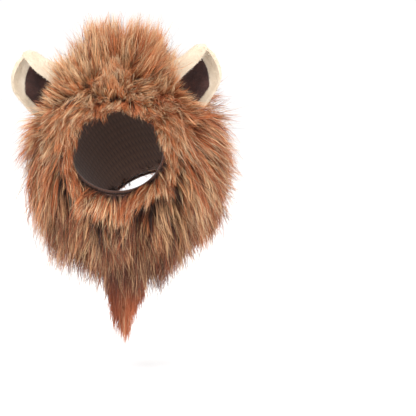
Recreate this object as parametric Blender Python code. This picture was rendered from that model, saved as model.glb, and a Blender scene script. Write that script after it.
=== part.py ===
"""Lion mane costume for a small dog: a fur hood that is pulled over the head, with two ears and a chest bib.

Metres, +Z up. The face opening looks along -Y, and the neck opening looks down, back and a little to +X,
as on a sitting dog that turns its head. The origin is where the crown of the head bears on the hood.
"""

import math

import bmesh
import bpy
from mathutils import Vector

# Driving dimensions, in metres and degrees.
FACE_WIDTH = 0.096
FACE_HEIGHT = 0.086
HEAD_WIDTH = 0.122
HEAD_HEIGHT = 0.124
NECK_WIDTH = 0.118
NECK_HEIGHT = 0.106
FACE_FORWARD = 0.040  # face opening ahead of the crown
FACE_DROP = 0.008  # middle of the face below the middle of the head
NECK_BACK = 0.070  # neck opening behind the crown
NECK_DROP = 0.074
NECK_SIDE = 0.036
NECK_PITCH = 52.0
NECK_YAW = 25.0
CLOTH = 0.002  # knitted backing of the fur
GAP = 0.0003  # between pieces
HEM = 0.0032  # rolled hem, its thickness
PILE = 0.020  # dense pile next to the cloth
LOCK_LENGTH = 0.062
LOCK_WIDTH = 0.032
LOCK_THICKNESS = 0.013
LOCK_SPACING = 0.0335
LOCK_SHOULDER = 0.55  # how much more the locks on the +X side stand off, over the shoulder there
LOCK_ROOT = 0.45  # where a lock starts in the pile, as a share of the pile's height
LOCK_SHORTEST = 0.88  # the lengths of neighbouring locks vary, as shares of what the tables give
LOCK_LONGEST = 1.08
EAR_WIDTH = 0.053
EAR_HEIGHT = 0.066
EAR_CUP = 0.026  # how deep the ear is cupped
EAR_WALL = 0.0042
EAR_BORDER = 0.011  # pale border round the dark lining
EAR_LINING = 0.0012
LINING_GAP = 0.0006  # between the lining and the ear, both of them curved
EAR_SOCKET = 0.0015  # room between the ear and the pile round it
EAR_CLEAR = 0.012  # no lock stands this close before the ear
EAR_BRUSH = 0.10  # how far beside its room a lock keeps its middle, as a share of the lock's width
EAR_SPREAD = 1.10  # the ear's outline on the hood, as a share of its width and depth
EAR_MIDDLE = 0.06  # middle of that outline to the outer side of the ear's base, as a share of EAR_WIDTH
EAR_SUNK = 0.30  # how far down the room for the ear goes, as a share of EAR_HEIGHT
BIB_WIDTH = 0.070
BIB_LENGTH = 0.050
BIB_THICKNESS = 0.009
BIB_LOCK_LENGTH = 0.067
BIB_TURN = 199.0  # where the bib hangs from the neck's hem, from the top round by +X
BIB_GAP = 0.0006  # between the bib and the hem that it hangs from, both of them curved
BIB_CLEAR = 0.003  # room between the bib and the mane
BIB_EDGE = 0.32  # thickness of the bib at its side edges, as a share of its thickness in the middle
BIB_RAISED = 0.4  # how far every second lock stands forward in the bib, as a share of its half thickness
BIB_TAPER = 0.25  # how much shorter the bib's outer locks are

# How finely the solids are drawn.
POINTS_AROUND = 22
RINGS_ALONG = 11
HEM_SIDES = 6
LOCK_SIDES = 4
LOCK_STEPS = 9
EAR_POINTS = 11
SHARP_ANGLE = 60.0

# The hood from the face to the neck: its station, the way forward as a share of FACE_FORWARD, the way back as
# a share of NECK_BACK, the bend as a share of NECK_DROP, NECK_SIDE and the two angles, and how much of the
# face and neck sizes it takes.
HOOD_SECTIONS = (
    # station, forward, back, bend, face, neck
    (0.00, 1.00, 0.00, 0.00, 1.00, 0.00),
    (0.09, 0.84, 0.00, 0.00, 0.58, 0.00),
    (0.19, 0.52, 0.00, 0.00, 0.18, 0.00),
    (0.34, 0.00, 0.00, 0.00, 0.00, 0.00),
    (0.56, 0.00, 0.36, 0.22, 0.00, 0.20),
    (0.78, 0.00, 0.70, 0.58, 0.00, 0.65),
    (1.00, 0.00, 1.00, 1.00, 0.00, 1.00),
)
CROWN_STATION = 0.34

# The pile's height along the hood, as a share of PILE.
PILE_ALONG = (
    # station, height
    (0.00, 0.30),
    (0.10, 0.80),
    (0.22, 1.00),
    (0.80, 1.00),
    (0.93, 0.70),
    (1.00, 0.20),
)

# How the locks lie from the top of the head (turn 0) to the throat (turn 1): length as a share of
# LOCK_LENGTH, lift from the cloth, how far they droop, and how far they lean to +X.
LOCKS_AROUND = (
    # turn, length, lift, droop, sway
    (0.00, 0.80, 0.92, -0.05, 0.18),
    (0.22, 0.86, 0.84, -0.12, 0.14),
    (0.42, 0.90, 0.50, 1.30, 0.05),
    (0.62, 1.12, 0.52, 1.90, 0.00),
    (0.82, 1.32, 0.64, 2.10, -0.14),
    (1.00, 1.34, 0.50, 2.10, -0.14),
)

# Rows of locks along the hood, and each row's length and lift as a share of what LOCKS_AROUND gives.
LOCK_ROWS = (
    # station, length, lift
    (0.045, 0.60, 1.00),
    (0.13, 0.86, 1.00),
    (0.22, 1.00, 1.00),
    (0.32, 1.00, 1.00),
    (0.43, 1.00, 0.90),
    (0.54, 0.95, 0.80),
    (0.65, 0.88, 0.72),
    (0.76, 0.80, 0.66),
    (0.87, 0.74, 0.60),
)

# A lock from its root to its tip: width and thickness as a share of LOCK_WIDTH and LOCK_THICKNESS.
LOCK_OUTLINE = (
    # along, share
    (0.00, 0.55),
    (0.30, 1.00),
    (0.68, 0.66),
)

EARS = (
    # ear, side, turn from the top of the head, lean from upright
    ("left_ear", 1, 52.0, 45.0),
    ("right_ear", -1, 56.0, 50.0),
)

# The ear from its base to its tip: width as a share of EAR_WIDTH, shift to the outer side as a share of
# EAR_WIDTH, and depth as a share of EAR_CUP.
EAR_SECTIONS = (
    # height, width, shift, depth
    (-0.16, 0.80, 0.00, 1.00),
    (0.12, 0.92, 0.04, 1.00),
    (0.32, 1.00, 0.08, 1.00),
    (0.54, 0.95, 0.07, 0.88),
    (0.72, 0.85, 0.06, 0.72),
    (0.86, 0.74, 0.02, 0.52),
    (0.95, 0.50, -0.05, 0.36),
    (1.00, 0.20, -0.11, 0.20),
)

# The ear cut across, from its outer rim round the back to the free edge of the flap that folds over its
# front: place across as a share of the width there, and forward as a share of the depth there.
EAR_ACROSS = (
    # round, across, forward
    (0.00, 0.50, 0.02),
    (0.16, 0.33, -0.22),
    (0.32, 0.10, -0.46),
    (0.48, -0.16, -0.54),
    (0.64, -0.40, -0.34),
    (0.76, -0.50, 0.04),
    (0.87, -0.42, 0.36),
    (1.00, -0.20, 0.46),
)

EAR_GIRTH = 1.60  # the way round EAR_ACROSS, as a share of the width

# The thickness of the ear as a share of EAR_WALL, near its rims and near its tip.
EAR_RIM = (
    # way from the edge, share
    (0.00, 0.50),
    (0.08, 1.00),
    (1.20, 1.00),
)

# The top of the dark lining inside the ear, from the border by its outer rim to the fold of its flap.
LINING_TOPS = (
    # round, height
    (0.12, 0.60),
    (0.30, 0.76),
    (0.50, 0.83),
    (0.75, 0.83),
    (1.00, 0.74),
)
LINING_ROWS = 5

# The bib from its top to its tip: width, shift to +X and way back as shares of BIB_WIDTH, and thickness as a
# share of BIB_THICKNESS.
BIB_SECTIONS = (
    # down, width, shift, back, thickness
    (0.00, 0.92, -0.08, 0.00, 0.60),
    (0.28, 1.00, -0.08, -0.02, 1.00),
    (0.64, 0.72, -0.04, -0.02, 0.95),
    (1.00, 0.30, 0.00, 0.02, 0.60),
)

# Rows of locks on the bib, and their length as a share of BIB_LOCK_LENGTH.
BIB_ROWS = (
    # down, locks, length
    (0.16, 5, 0.76),
    (0.46, 4, 0.90),
    (0.80, 3, 1.00),
)
BIB_POINTS = 9

DOWN = Vector((0.0, 0.0, -1.0))
SIDEWAYS = Vector((1.0, 0.0, 0.0))
FORWARD = Vector((0.0, -1.0, 0.0))
STEP = 0.01  # for slopes along and round the hood

COLOURS = {
    "fur": ((0.42, 0.17, 0.08), 0.75),
    "chest": ((0.30, 0.11, 0.05), 0.75),
    "backing": ((0.36, 0.24, 0.15), 0.90),
    "ear_plush": ((0.83, 0.68, 0.48), 0.85),
    "ear_lining": ((0.07, 0.035, 0.028), 0.85),
}


def eased(rows, at):
    """The columns after the first, read at a value of the first with a smooth curve through the rows."""
    last = len(rows) - 1
    i = max(0, min(last - 1, sum(1 for row in rows if row[0] <= at) - 1))
    span = rows[i + 1][0] - rows[i][0]
    t = max(0.0, min(1.0, (at - rows[i][0]) / span))

    def slope(k, column):
        low, high = rows[max(k - 1, 0)], rows[min(k + 1, last)]
        return (high[column] - low[column]) / (high[0] - low[0])

    values = []
    for column in range(1, len(rows[0])):
        start, end = rows[i][column], rows[i + 1][column]
        rise, fall = slope(i, column) * span, slope(i + 1, column) * span
        values.append(
            start * (2 * t**3 - 3 * t**2 + 1)
            + end * (3 * t**2 - 2 * t**3)
            + rise * (t**3 - 2 * t**2 + t)
            + fall * (t**3 - t**2)
        )
    return values


def hood_lengths():
    """HOOD_SECTIONS as lengths and angles: station, x, y, z, half width, half height, pitch and yaw."""
    rows = []
    for station, forward, back, bend, face, neck in HOOD_SECTIONS:
        head = 1.0 - face - neck
        rows.append(
            (
                station,
                NECK_SIDE * bend,
                NECK_BACK * back - FACE_FORWARD * forward,
                -HEAD_HEIGHT / 2 - FACE_DROP * forward - NECK_DROP * bend,
                (FACE_WIDTH * face + HEAD_WIDTH * head + NECK_WIDTH * neck) / 2,
                (FACE_HEIGHT * face + HEAD_HEIGHT * head + NECK_HEIGHT * neck) / 2,
                math.radians(NECK_PITCH) * bend,
                math.radians(NECK_YAW) * bend,
            )
        )
    return rows


HOOD = hood_lengths()


def hood_axes(station):
    """Centre, sideways axis, upward axis, axis along the hood, half width and half height of a section."""
    x, y, z, width, height, pitch, yaw = eased(HOOD, station)
    side = Vector((math.cos(yaw), -math.sin(yaw), 0.0))
    along = Vector(
        (math.sin(yaw) * math.cos(pitch), math.cos(yaw) * math.cos(pitch), -math.sin(pitch))
    )
    return Vector((x, y, z)), side, side.cross(along), along, width, height


def hood_inside(station, turn):
    """A point of the hood's inner face. turn is in radians from the top towards +X."""
    centre, side, up, _, width, height = hood_axes(station)
    return centre + side * width * math.sin(turn) + up * height * math.cos(turn)


def hood_slopes(station, turn):
    """The outward normal of the hood, and its direction from the face to the neck."""
    low, high = max(0.0, station - STEP), min(1.0, station + STEP)
    along = (hood_inside(high, turn) - hood_inside(low, turn)).normalized()
    around = hood_inside(station, turn + STEP) - hood_inside(station, turn - STEP)
    return around.cross(along).normalized(), along


def hood_point(station, turn, out=0.0):
    """A point that lies this far outside the hood's inner face."""
    return hood_inside(station, turn) + hood_slopes(station, turn)[0] * out


def turns():
    return [2 * math.pi * i / POINTS_AROUND for i in range(POINTS_AROUND)]


def stations():
    return [i / (RINGS_ALONG - 1) for i in range(RINGS_ALONG)]


def pile_height(station):
    return PILE * eased(PILE_ALONG, station)[0]


def material(name):
    """The Principled material of one finish."""
    found = bpy.data.materials.get(name)
    if found:
        return found
    colour, roughness = COLOURS[name]
    made = bpy.data.materials.new(name)
    made.use_nodes = True
    shader = made.node_tree.nodes["Principled BSDF"]
    shader.inputs["Base Color"].default_value = (*colour, 1.0)
    shader.inputs["Roughness"].default_value = roughness
    shader.inputs["Metallic"].default_value = 0.0
    return made


def new_object(name, points, faces, finish=None):
    """A mesh object from points and faces, with its faces turned out. Without a finish it is a cutter."""
    mesh = bpy.data.meshes.new(name)
    mesh.from_pydata([tuple(p) for p in points], [], faces)
    tidy = bmesh.new()
    tidy.from_mesh(mesh)
    bmesh.ops.recalc_face_normals(tidy, faces=tidy.faces)
    bmesh.ops.triangulate(tidy, faces=tidy.faces)
    tidy.to_mesh(mesh)
    tidy.free()
    obj = bpy.data.objects.new(name, mesh)
    bpy.context.scene.collection.objects.link(obj)
    if finish is None:
        obj.hide_render = True
        obj.display_type = "WIRE"
    else:
        mesh.materials.append(material(finish))
        mesh.shade_smooth()
        mesh.set_sharp_from_angle(angle=math.radians(SHARP_ANGLE))
    return obj


def tube_faces(rings, around, start=0):
    """The quads between rings of points."""
    return [
        (
            start + r * around + i,
            start + r * around + (i + 1) % around,
            start + (r + 1) * around + (i + 1) % around,
            start + (r + 1) * around + i,
        )
        for r in range(rings - 1)
        for i in range(around)
    ]


def loft(rings):
    """Points and faces of a solid through rings of points, closed at both ends."""
    around, count = len(rings[0]), len(rings)
    points = [p for ring in rings for p in ring]
    ends = [tuple(range(around)), tuple(range((count - 1) * around, count * around))]
    return points, tube_faces(count, around) + ends


def wall(outer, inner):
    """Points and faces of a wall between two sets of rings, open at both ends."""
    around, count = len(outer[0]), len(outer)
    points = [p for ring in outer + inner for p in ring]
    half = count * around
    faces = tube_faces(count, around) + tube_faces(count, around, half)
    for row in (0, (count - 1) * around):
        faces += [
            (row + i, row + (i + 1) % around, half + row + (i + 1) % around, half + row + i)
            for i in range(around)
        ]
    return points, faces


def slab(front, back):
    """Points and faces of a bent sheet between two grids of points, closed at all four edges."""
    loops = [f + b[::-1] for f, b in zip(front, back)]
    around, count, wide = len(loops[0]), len(loops), len(front[0])
    points = [p for loop in loops for p in loop]
    faces = tube_faces(count, around)
    for row in (0, (count - 1) * around):
        faces += [
            (row + i, row + i + 1, row + around - 2 - i, row + around - 1 - i)
            for i in range(wide - 1)
        ]
    return points, faces


def apply_modifiers(obj):
    """Turns the object's mesh into what its modifiers make of it, without the loose ends a cut leaves."""
    graph = bpy.context.evaluated_depsgraph_get()
    made = bpy.data.meshes.new_from_object(obj.evaluated_get(graph))
    obj.modifiers.clear()
    obj.data = made
    keep_main_body(obj)


def keep_main_body(obj):
    """Deletes every loose piece of the mesh but the one with the most faces."""
    work = bmesh.new()
    work.from_mesh(obj.data)
    bmesh.ops.triangulate(work, faces=work.faces)
    seen, bodies = set(), []
    for face in work.faces:
        if face in seen:
            continue
        seen.add(face)
        body, edge = [face], [face]
        while edge:
            for side in edge.pop().edges:
                for other in side.link_faces:
                    if other not in seen:
                        seen.add(other)
                        body.append(other)
                        edge.append(other)
        bodies.append(body)
    bodies.sort(key=len)
    loose = [face for body in bodies[:-1] for face in body]
    bmesh.ops.delete(work, geom=loose, context="FACES")
    work.to_mesh(obj.data)
    work.free()


def boolean(obj, other, operation):
    modifier = obj.modifiers.new(other.name, "BOOLEAN")
    modifier.operation = operation
    modifier.object = other
    modifier.solver = "EXACT"
    modifier.use_self = operation == "UNION"


def hood_rings(out):
    """Rings of points this far outside the hood's inner face. out gives the length at a station."""
    return [[hood_point(s, t, out(s)) for t in turns()] for s in stations()]


def hood_core():
    """Cutter: all that the hood fills and surrounds, and the ways in at the face and at the neck."""
    rings = hood_rings(lambda station: CLOTH + GAP)
    front, back = hood_axes(0.0)[3], hood_axes(1.0)[3]
    rings.insert(0, [p - front * (PILE + LOCK_LENGTH) for p in rings[0]])
    rings.append([p + back * (PILE + LOCK_LENGTH) for p in rings[-1]])
    return new_object("hood_core", *loft(rings))


def hood_backing():
    """The knitted cloth that the fur grows from: a bent tube from the face to the neck."""
    outer, inner = hood_rings(lambda station: CLOTH), hood_rings(lambda station: 0.0)
    return new_object("hood_backing", *wall(outer, inner), "backing")


def hem_middle(station, turn):
    """The middle of the rolled hem that follows the edge of the cloth at the face (0) or at the neck (1)."""
    along = hood_slopes(station, turn)[1] * (1 if station else -1)
    return hood_point(station, turn, CLOTH / 2) + along * (HEM / 2 + GAP)


def hem(name, station):
    """A rolled hem round an edge of the hood."""
    points = []
    for turn in turns():
        centre = hem_middle(station, turn)
        out, along = hood_slopes(station, turn)
        for k in range(HEM_SIDES):
            angle = 2 * math.pi * (k + 0.5) / HEM_SIDES
            points.append(centre + (out * math.cos(angle) + along * math.sin(angle)) * HEM / 2)
    faces = tube_faces(POINTS_AROUND, HEM_SIDES)
    last = (POINTS_AROUND - 1) * HEM_SIDES
    faces += [
        (last + k, last + (k + 1) % HEM_SIDES, (k + 1) % HEM_SIDES, k) for k in range(HEM_SIDES)
    ]
    return new_object(name, points, faces, "backing")


def ear_axes(ear):
    """Base, outward, forward and upward axes of a row of EARS."""
    _, side, turn, lean = ear
    lean = math.radians(lean)
    up = Vector((side * math.sin(lean), 0.0, math.cos(lean)))
    outward = Vector((side * math.cos(lean), 0.0, -math.sin(lean)))
    return hood_point(CROWN_STATION, side * math.radians(turn), CLOTH), outward, FORWARD, up


def ear_point(ear, height, around, off):
    """A point of the ear: off is the way from the middle of its wall, towards its hollow."""
    base, outward, forward, up = ear_axes(ear)
    width, shift, depth = eased(EAR_SECTIONS, height)

    def middle(at):
        across, ahead = eased(EAR_ACROSS, at)
        return (across * width + shift) * EAR_WIDTH, ahead * depth * EAR_CUP

    low, high = middle(max(0.0, around - STEP)), middle(min(1.0, around + STEP))
    run = Vector((high[0] - low[0], high[1] - low[1])).normalized()
    x, y = middle(around)
    x += run.y * off
    y -= run.x * off
    return base + outward * x + forward * y + up * height * EAR_HEIGHT


def ear_thickness(height, around):
    """Half the ear's wall, thinner at its rims and at its tip."""
    return EAR_WALL / 2 * eased(EAR_RIM, min(around, 1.0 - around))[0] * eased(EAR_RIM, 1.0 - height)[0]


def ear_rounds():
    """The places round the ear where it is drawn. The third is where its border ends."""
    border = EAR_BORDER / (EAR_GIRTH * EAR_WIDTH)
    steps = EAR_POINTS - 3
    return [0.0, border / 2] + [border + (1.0 - border) * i / steps for i in range(steps + 1)]


def ear_shell(ear, core):
    """The pale plush ear: a cupped leaf whose inner side folds over its front."""
    heights = [row[0] for row in EAR_SECTIONS]

    def grid(face):
        return [
            [ear_point(ear, h, r, face * ear_thickness(h, r)) for r in ear_rounds()]
            for h in heights
        ]

    obj = new_object(f"{ear[0]}_shell", *slab(grid(1), grid(-1)), "ear_plush")
    boolean(obj, core, "DIFFERENCE")
    apply_modifiers(obj)
    return obj


def ear_lining(ear, core):
    """The dark lining in the hollow of the ear, inside the pale border."""
    base = EAR_SECTIONS[0][0]

    def grid(depth):
        rows = []
        for k in range(LINING_ROWS + 1):
            row = []
            for r in ear_rounds()[2:-1]:
                h = base + (eased(LINING_TOPS, r)[0] - base) * k / LINING_ROWS
                row.append(ear_point(ear, h, r, ear_thickness(h, r) + LINING_GAP + depth))
            rows.append(row)
        return rows

    obj = new_object(f"{ear[0]}_lining", *slab(grid(0.0), grid(EAR_LINING)), "ear_lining")
    boolean(obj, core, "DIFFERENCE")
    apply_modifiers(obj)
    return obj


def socket_reach():
    """Half width and half depth of the room that the fur leaves for an ear."""
    wide = EAR_WIDTH / 2 * EAR_SPREAD + EAR_SOCKET
    return wide, EAR_CUP / 2 * EAR_SPREAD + EAR_WALL / 2 + EAR_SOCKET


def ear_socket(ear):
    """Cutter: an oval post round the ear, so that no fur runs through it."""
    base, outward, forward, up = ear_axes(ear)
    wide, deep = socket_reach()
    middle = base + outward * EAR_WIDTH * EAR_MIDDLE
    rings = []
    for height in (-EAR_SUNK, 1.0 + LOCK_LENGTH / EAR_HEIGHT):
        rings.append(
            [
                middle
                + up * height * EAR_HEIGHT
                + outward * wide * math.cos(2 * math.pi * k / EAR_POINTS)
                + forward * deep * math.sin(2 * math.pi * k / EAR_POINTS)
                for k in range(EAR_POINTS)
            ]
        )
    return new_object(f"{ear[0]}_socket", *loft(rings))


def meets_ear(path):
    """True if a lock on this path would run through an ear."""
    wide, deep = socket_reach()
    for ear in EARS:
        base, outward, forward, up = ear_axes(ear)
        middle = base + outward * EAR_WIDTH * EAR_MIDDLE + forward * EAR_CLEAR / 2
        for p in path:
            way = p - middle
            across = way.dot(outward) / (wide + LOCK_WIDTH * EAR_BRUSH)
            ahead = way.dot(forward) / (deep + LOCK_THICKNESS * EAR_BRUSH + EAR_CLEAR / 2)
            if way.dot(up) > -EAR_SUNK * EAR_HEIGHT and across**2 + ahead**2 < 1.0:
                return True
    return False


def lock_path(start, heading, length, droop):
    """Points along a lock that leaves its root in this heading and droops under its weight."""
    path = [start]
    for _ in range(LOCK_STEPS):
        heading = (heading + DOWN * droop / LOCK_STEPS).normalized()
        path.append(path[-1] + heading * length / LOCK_STEPS)
    return path


def add_lock(points, faces, path, out):
    """Adds one tapered lock along a path to the lists of points and faces. out is the way off the cloth."""
    first = len(points)
    for share, size in LOCK_OUTLINE:
        place = share * LOCK_STEPS
        i = min(int(place), LOCK_STEPS - 1)
        centre = path[i].lerp(path[i + 1], place - i)
        along = (path[i + 1] - path[i]).normalized()
        side = along.cross(out).normalized()
        thick = side.cross(along)
        for k in range(LOCK_SIDES):
            angle = 2 * math.pi * k / LOCK_SIDES
            points.append(
                centre
                + side * math.sin(angle) * LOCK_WIDTH / 2 * size
                + thick * math.cos(angle) * LOCK_THICKNESS / 2 * size
            )
    rings = len(LOCK_OUTLINE)
    faces += tube_faces(rings, LOCK_SIDES, first)
    points.append(path[-1])
    tip, last = len(points) - 1, first + (rings - 1) * LOCK_SIDES
    faces += [(last + k, last + (k + 1) % LOCK_SIDES, tip) for k in range(LOCK_SIDES)]
    faces.append(tuple(first + k for k in range(LOCK_SIDES)))


def uneven(i, row):
    """A lock's length as a share of the usual one, with no two neighbours alike."""
    vary = 0.5 + 0.5 * math.sin(7.3 * i + 2.9 * row)
    return LOCK_SHORTEST + (LOCK_LONGEST - LOCK_SHORTEST) * vary


def mane_locks():
    """The locks of the mane, in rows round the hood, each row set half a lock on from the last."""
    points, faces = [], []
    for row, (station, row_length, row_lift) in enumerate(LOCK_ROWS):
        _, _, _, _, width, height = hood_axes(station)
        reach = pile_height(station)
        count = round(math.pi * (width + height + 2 * reach) / LOCK_SPACING)
        for i in range(count):
            turn = 2 * math.pi * (i + 0.5 * (row % 2)) / count
            length, lift, droop, sway = eased(LOCKS_AROUND, abs((turn / math.pi + 1) % 2 - 1))
            out, along = hood_slopes(station, turn)
            shoulder = LOCK_SHOULDER * max(0.0, math.sin(turn))
            lift *= row_lift * (1.0 + shoulder)
            droop *= 1.0 - shoulder
            heading = (out * lift + along * (1.0 - lift) + SIDEWAYS * sway).normalized()
            length *= LOCK_LENGTH * row_length * uneven(i, row)
            root = hood_point(station, turn, CLOTH + reach * LOCK_ROOT)
            path = lock_path(root, heading, length, droop)
            if not meets_ear(path) and not meets_bib(path):
                add_lock(points, faces, path, out)
    return new_object("mane_locks", points, faces)


def mane_fur(core, rooms):
    """The fur of the mane: dense pile on the hood with locks fused to it, open for the head and the ears."""
    rings = hood_rings(lambda station: CLOTH + pile_height(station))
    obj = new_object("mane_fur", *loft(rings), "fur")
    boolean(obj, mane_locks(), "UNION")
    boolean(obj, core, "DIFFERENCE")
    for room in rooms:
        boolean(obj, room, "DIFFERENCE")
    apply_modifiers(obj)
    return obj


def bib_top(place):
    """A point of the line under the neck's hem that the bib hangs from, place to +X of its middle."""
    _, _, _, _, width, height = hood_axes(1.0)
    turn = math.radians(BIB_TURN) - place / ((width + height) / 2)
    run = (hem_middle(1.0, turn + STEP) - hem_middle(1.0, turn - STEP)).normalized()
    below = (DOWN - run * DOWN.dot(run)).normalized()
    return hem_middle(1.0, turn) + below * (HEM / 2 + BIB_GAP)


def bib_point(down, across, ahead):
    """A point of the bib: across from -1 to 1 over its width, ahead from -1 to 1 through its thickness."""
    width, shift, back, thickness = eased(BIB_SECTIONS, down)
    place = (across * width / 2 + shift) * BIB_WIDTH
    deep = ahead * thickness * BIB_THICKNESS / 2 * math.sqrt(1.0 + BIB_EDGE**2 - across**2)
    return bib_top(place) + DOWN * down * BIB_LENGTH + FORWARD * (deep - back * BIB_WIDTH)


def bib_reach():
    """The room of the bib and its locks: its ends along bib_top, and how far it comes before that line."""
    low = min(shift - width / 2 for _, width, shift, _, _ in BIB_SECTIONS)
    high = max(shift + width / 2 for _, width, shift, _, _ in BIB_SECTIONS)
    deep = BIB_THICKNESS + LOCK_THICKNESS / 2
    return low * BIB_WIDTH - BIB_CLEAR, high * BIB_WIDTH + BIB_CLEAR, deep + BIB_CLEAR


def meets_bib(path):
    """True if a lock of the mane on this path would run into the bib."""
    low, high, deep = bib_reach()
    first, last, front = bib_top(low), bib_top(high), bib_top(0.0)
    for p in path:
        beside = p.x < first.x - LOCK_WIDTH / 2 or p.x > last.x + LOCK_WIDTH / 2
        before = p.y < front.y - deep - LOCK_THICKNESS / 2
        if not beside and not before and p.z < front.z + HEM:
            return True
    return False


def bib_room():
    """Cutter: the room of the bib and its locks, so that no fur of the mane runs through them."""
    low, high, deep = bib_reach()
    reach = BIB_LENGTH + BIB_LOCK_LENGTH

    def grid(ahead):
        rows = []
        for down in (0.0, reach):
            places = [low + (high - low) * i / (BIB_POINTS - 1) for i in range(BIB_POINTS)]
            rows.append([bib_top(p) + DOWN * down + FORWARD * ahead for p in places])
        return rows

    return new_object("bib_room", *slab(grid(deep), grid(-reach)))


def chest_bib(core):
    """The pointed bib under the throat: a tongue of pile with long locks fused to its front and its tip."""
    downs = [row[0] for row in BIB_SECTIONS]
    acrosses = [2 * i / (BIB_POINTS - 1) - 1 for i in range(BIB_POINTS)]
    front = [[bib_point(d, a, 1) for a in acrosses] for d in downs]
    back = [[bib_point(d, a, -1) for a in acrosses] for d in downs]
    points, faces = [], []
    for down, count, length in BIB_ROWS:
        width = eased(BIB_SECTIONS, down)[0] * BIB_WIDTH
        inset = max(1.0 - LOCK_WIDTH / width, 0.5)
        for i in range(count):
            across = (2 * i / (count - 1) - 1.0) * inset
            reach = BIB_LOCK_LENGTH * length * (1.0 - BIB_TAPER * abs(across))
            path = lock_path(bib_point(down, across, BIB_RAISED * (i % 2)), DOWN, reach, 0.0)
            add_lock(points, faces, path, FORWARD)
    obj = new_object("chest_bib", *slab(front, back), "chest")
    boolean(obj, new_object("bib_locks", points, faces), "UNION")
    boolean(obj, core, "DIFFERENCE")
    apply_modifiers(obj)
    return obj


def main():
    for obj in list(bpy.data.objects):
        bpy.data.objects.remove(obj)
    core = hood_core()
    rooms = [ear_socket(ear) for ear in EARS] + [bib_room()]
    hood_backing()
    hem("face_hem", 0.0)
    hem("neck_hem", 1.0)
    for ear in EARS:
        ear_shell(ear, core)
        ear_lining(ear, core)
    mane_fur(core, rooms)
    chest_bib(core)


main()
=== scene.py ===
"""The look of a lion mane costume for a small dog: long fur on a knitted hood, two plush ears and a bib.

Metres, +Z up. The face opening looks along -Y, and the wearer's left is +X. The hood is empty and keeps the
form that it has when worn. The fur is made of strands that start on the form that the solids are built on.
"""

import logging
import math
from dataclasses import dataclass, replace
from enum import Enum
from functools import cache
from typing import Callable, ClassVar

import bpy
import numpy as np
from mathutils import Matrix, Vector


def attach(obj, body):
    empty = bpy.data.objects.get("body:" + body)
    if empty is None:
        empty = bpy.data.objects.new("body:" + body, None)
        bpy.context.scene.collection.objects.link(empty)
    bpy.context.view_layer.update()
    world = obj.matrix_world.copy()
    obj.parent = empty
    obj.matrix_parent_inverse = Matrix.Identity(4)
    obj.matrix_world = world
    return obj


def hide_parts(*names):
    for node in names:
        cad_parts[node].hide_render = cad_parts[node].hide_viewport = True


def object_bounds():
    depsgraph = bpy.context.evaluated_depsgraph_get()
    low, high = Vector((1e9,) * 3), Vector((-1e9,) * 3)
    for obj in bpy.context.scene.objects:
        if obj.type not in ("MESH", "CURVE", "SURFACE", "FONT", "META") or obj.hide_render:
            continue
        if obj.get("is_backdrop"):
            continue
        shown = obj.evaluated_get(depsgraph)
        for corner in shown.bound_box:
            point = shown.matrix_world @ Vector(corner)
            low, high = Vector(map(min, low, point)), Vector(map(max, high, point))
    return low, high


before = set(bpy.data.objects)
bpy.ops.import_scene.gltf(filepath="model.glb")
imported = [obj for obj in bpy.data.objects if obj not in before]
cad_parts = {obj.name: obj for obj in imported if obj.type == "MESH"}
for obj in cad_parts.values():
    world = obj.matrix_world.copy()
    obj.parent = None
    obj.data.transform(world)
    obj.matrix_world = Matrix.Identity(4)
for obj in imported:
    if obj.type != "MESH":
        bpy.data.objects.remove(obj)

Rows = tuple[tuple[float, ...], ...]
Colour = tuple[int, int, int]
Stops = tuple[tuple[float, Colour], ...]
Span = tuple[float, float]  # the least and the most

LOG = logging.getLogger("lion_mane")
FUR_UV = "OFBake"  # the strands' own map: shade across, root to tip upwards
MAP_SPAN: Span = (0.01, 0.99)  # the part of that map that the strands use
ROOM = 0.011  # how far past the CAD box the fur may stand
SEED = 416
DOWN = np.array((0.0, 0.0, -1.0))
SIDEWAYS = np.array((1.0, 0.0, 0.0))
FORWARD = np.array((0.0, -1.0, 0.0))


def eased(rows: Rows, at: np.ndarray | float) -> np.ndarray:
    """Reads a table with a smooth curve through its rows.

    Args:
        rows: Rows whose first column rises.
        at: Values of the first column.

    Returns:
        The other columns at those values, one row each.
    """
    table = np.array(rows, float)
    keys, values = table[:, 0], table[:, 1:]
    last = len(keys) - 1
    at = np.atleast_1d(np.asarray(at, float))
    i = np.clip(np.searchsorted(keys, at, side="right") - 1, 0, last - 1)
    span = (keys[i + 1] - keys[i])[:, None]
    t = np.clip((at - keys[i])[:, None] / span, 0.0, 1.0)
    low = np.maximum(np.arange(last + 1) - 1, 0)
    high = np.minimum(np.arange(last + 1) + 1, last)
    slope = (values[high] - values[low]) / (keys[high] - keys[low])[:, None]
    start_share = 2 * t**3 - 3 * t**2 + 1
    rise_share = t**3 - 2 * t**2 + t
    fall_share = t**3 - t**2
    ends = values[i] * start_share + values[i + 1] * (1.0 - start_share)
    return ends + (slope[i] * rise_share + slope[i + 1] * fall_share) * span


def unit(vectors: np.ndarray) -> np.ndarray:
    """Vectors of length one in the same directions."""
    return vectors / np.maximum(np.linalg.norm(vectors, axis=-1, keepdims=True), 1e-12)


def linear(colour: Colour) -> tuple[float, float, float, float]:
    """A display colour of 0 to 255 as the linear colour that a shader takes."""
    values = [c / 255 for c in colour]
    made = [v / 12.92 if v <= 0.04045 else ((v + 0.055) / 1.055) ** 2.4 for v in values]
    return made[0], made[1], made[2], 1.0


class Side(Enum):
    """The wearer's left and right, as the sign of X."""

    LEFT = 1
    RIGHT = -1

    @property
    def word(self) -> str:
        """The word that the names of pieces start with."""
        return self.name.lower()


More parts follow.
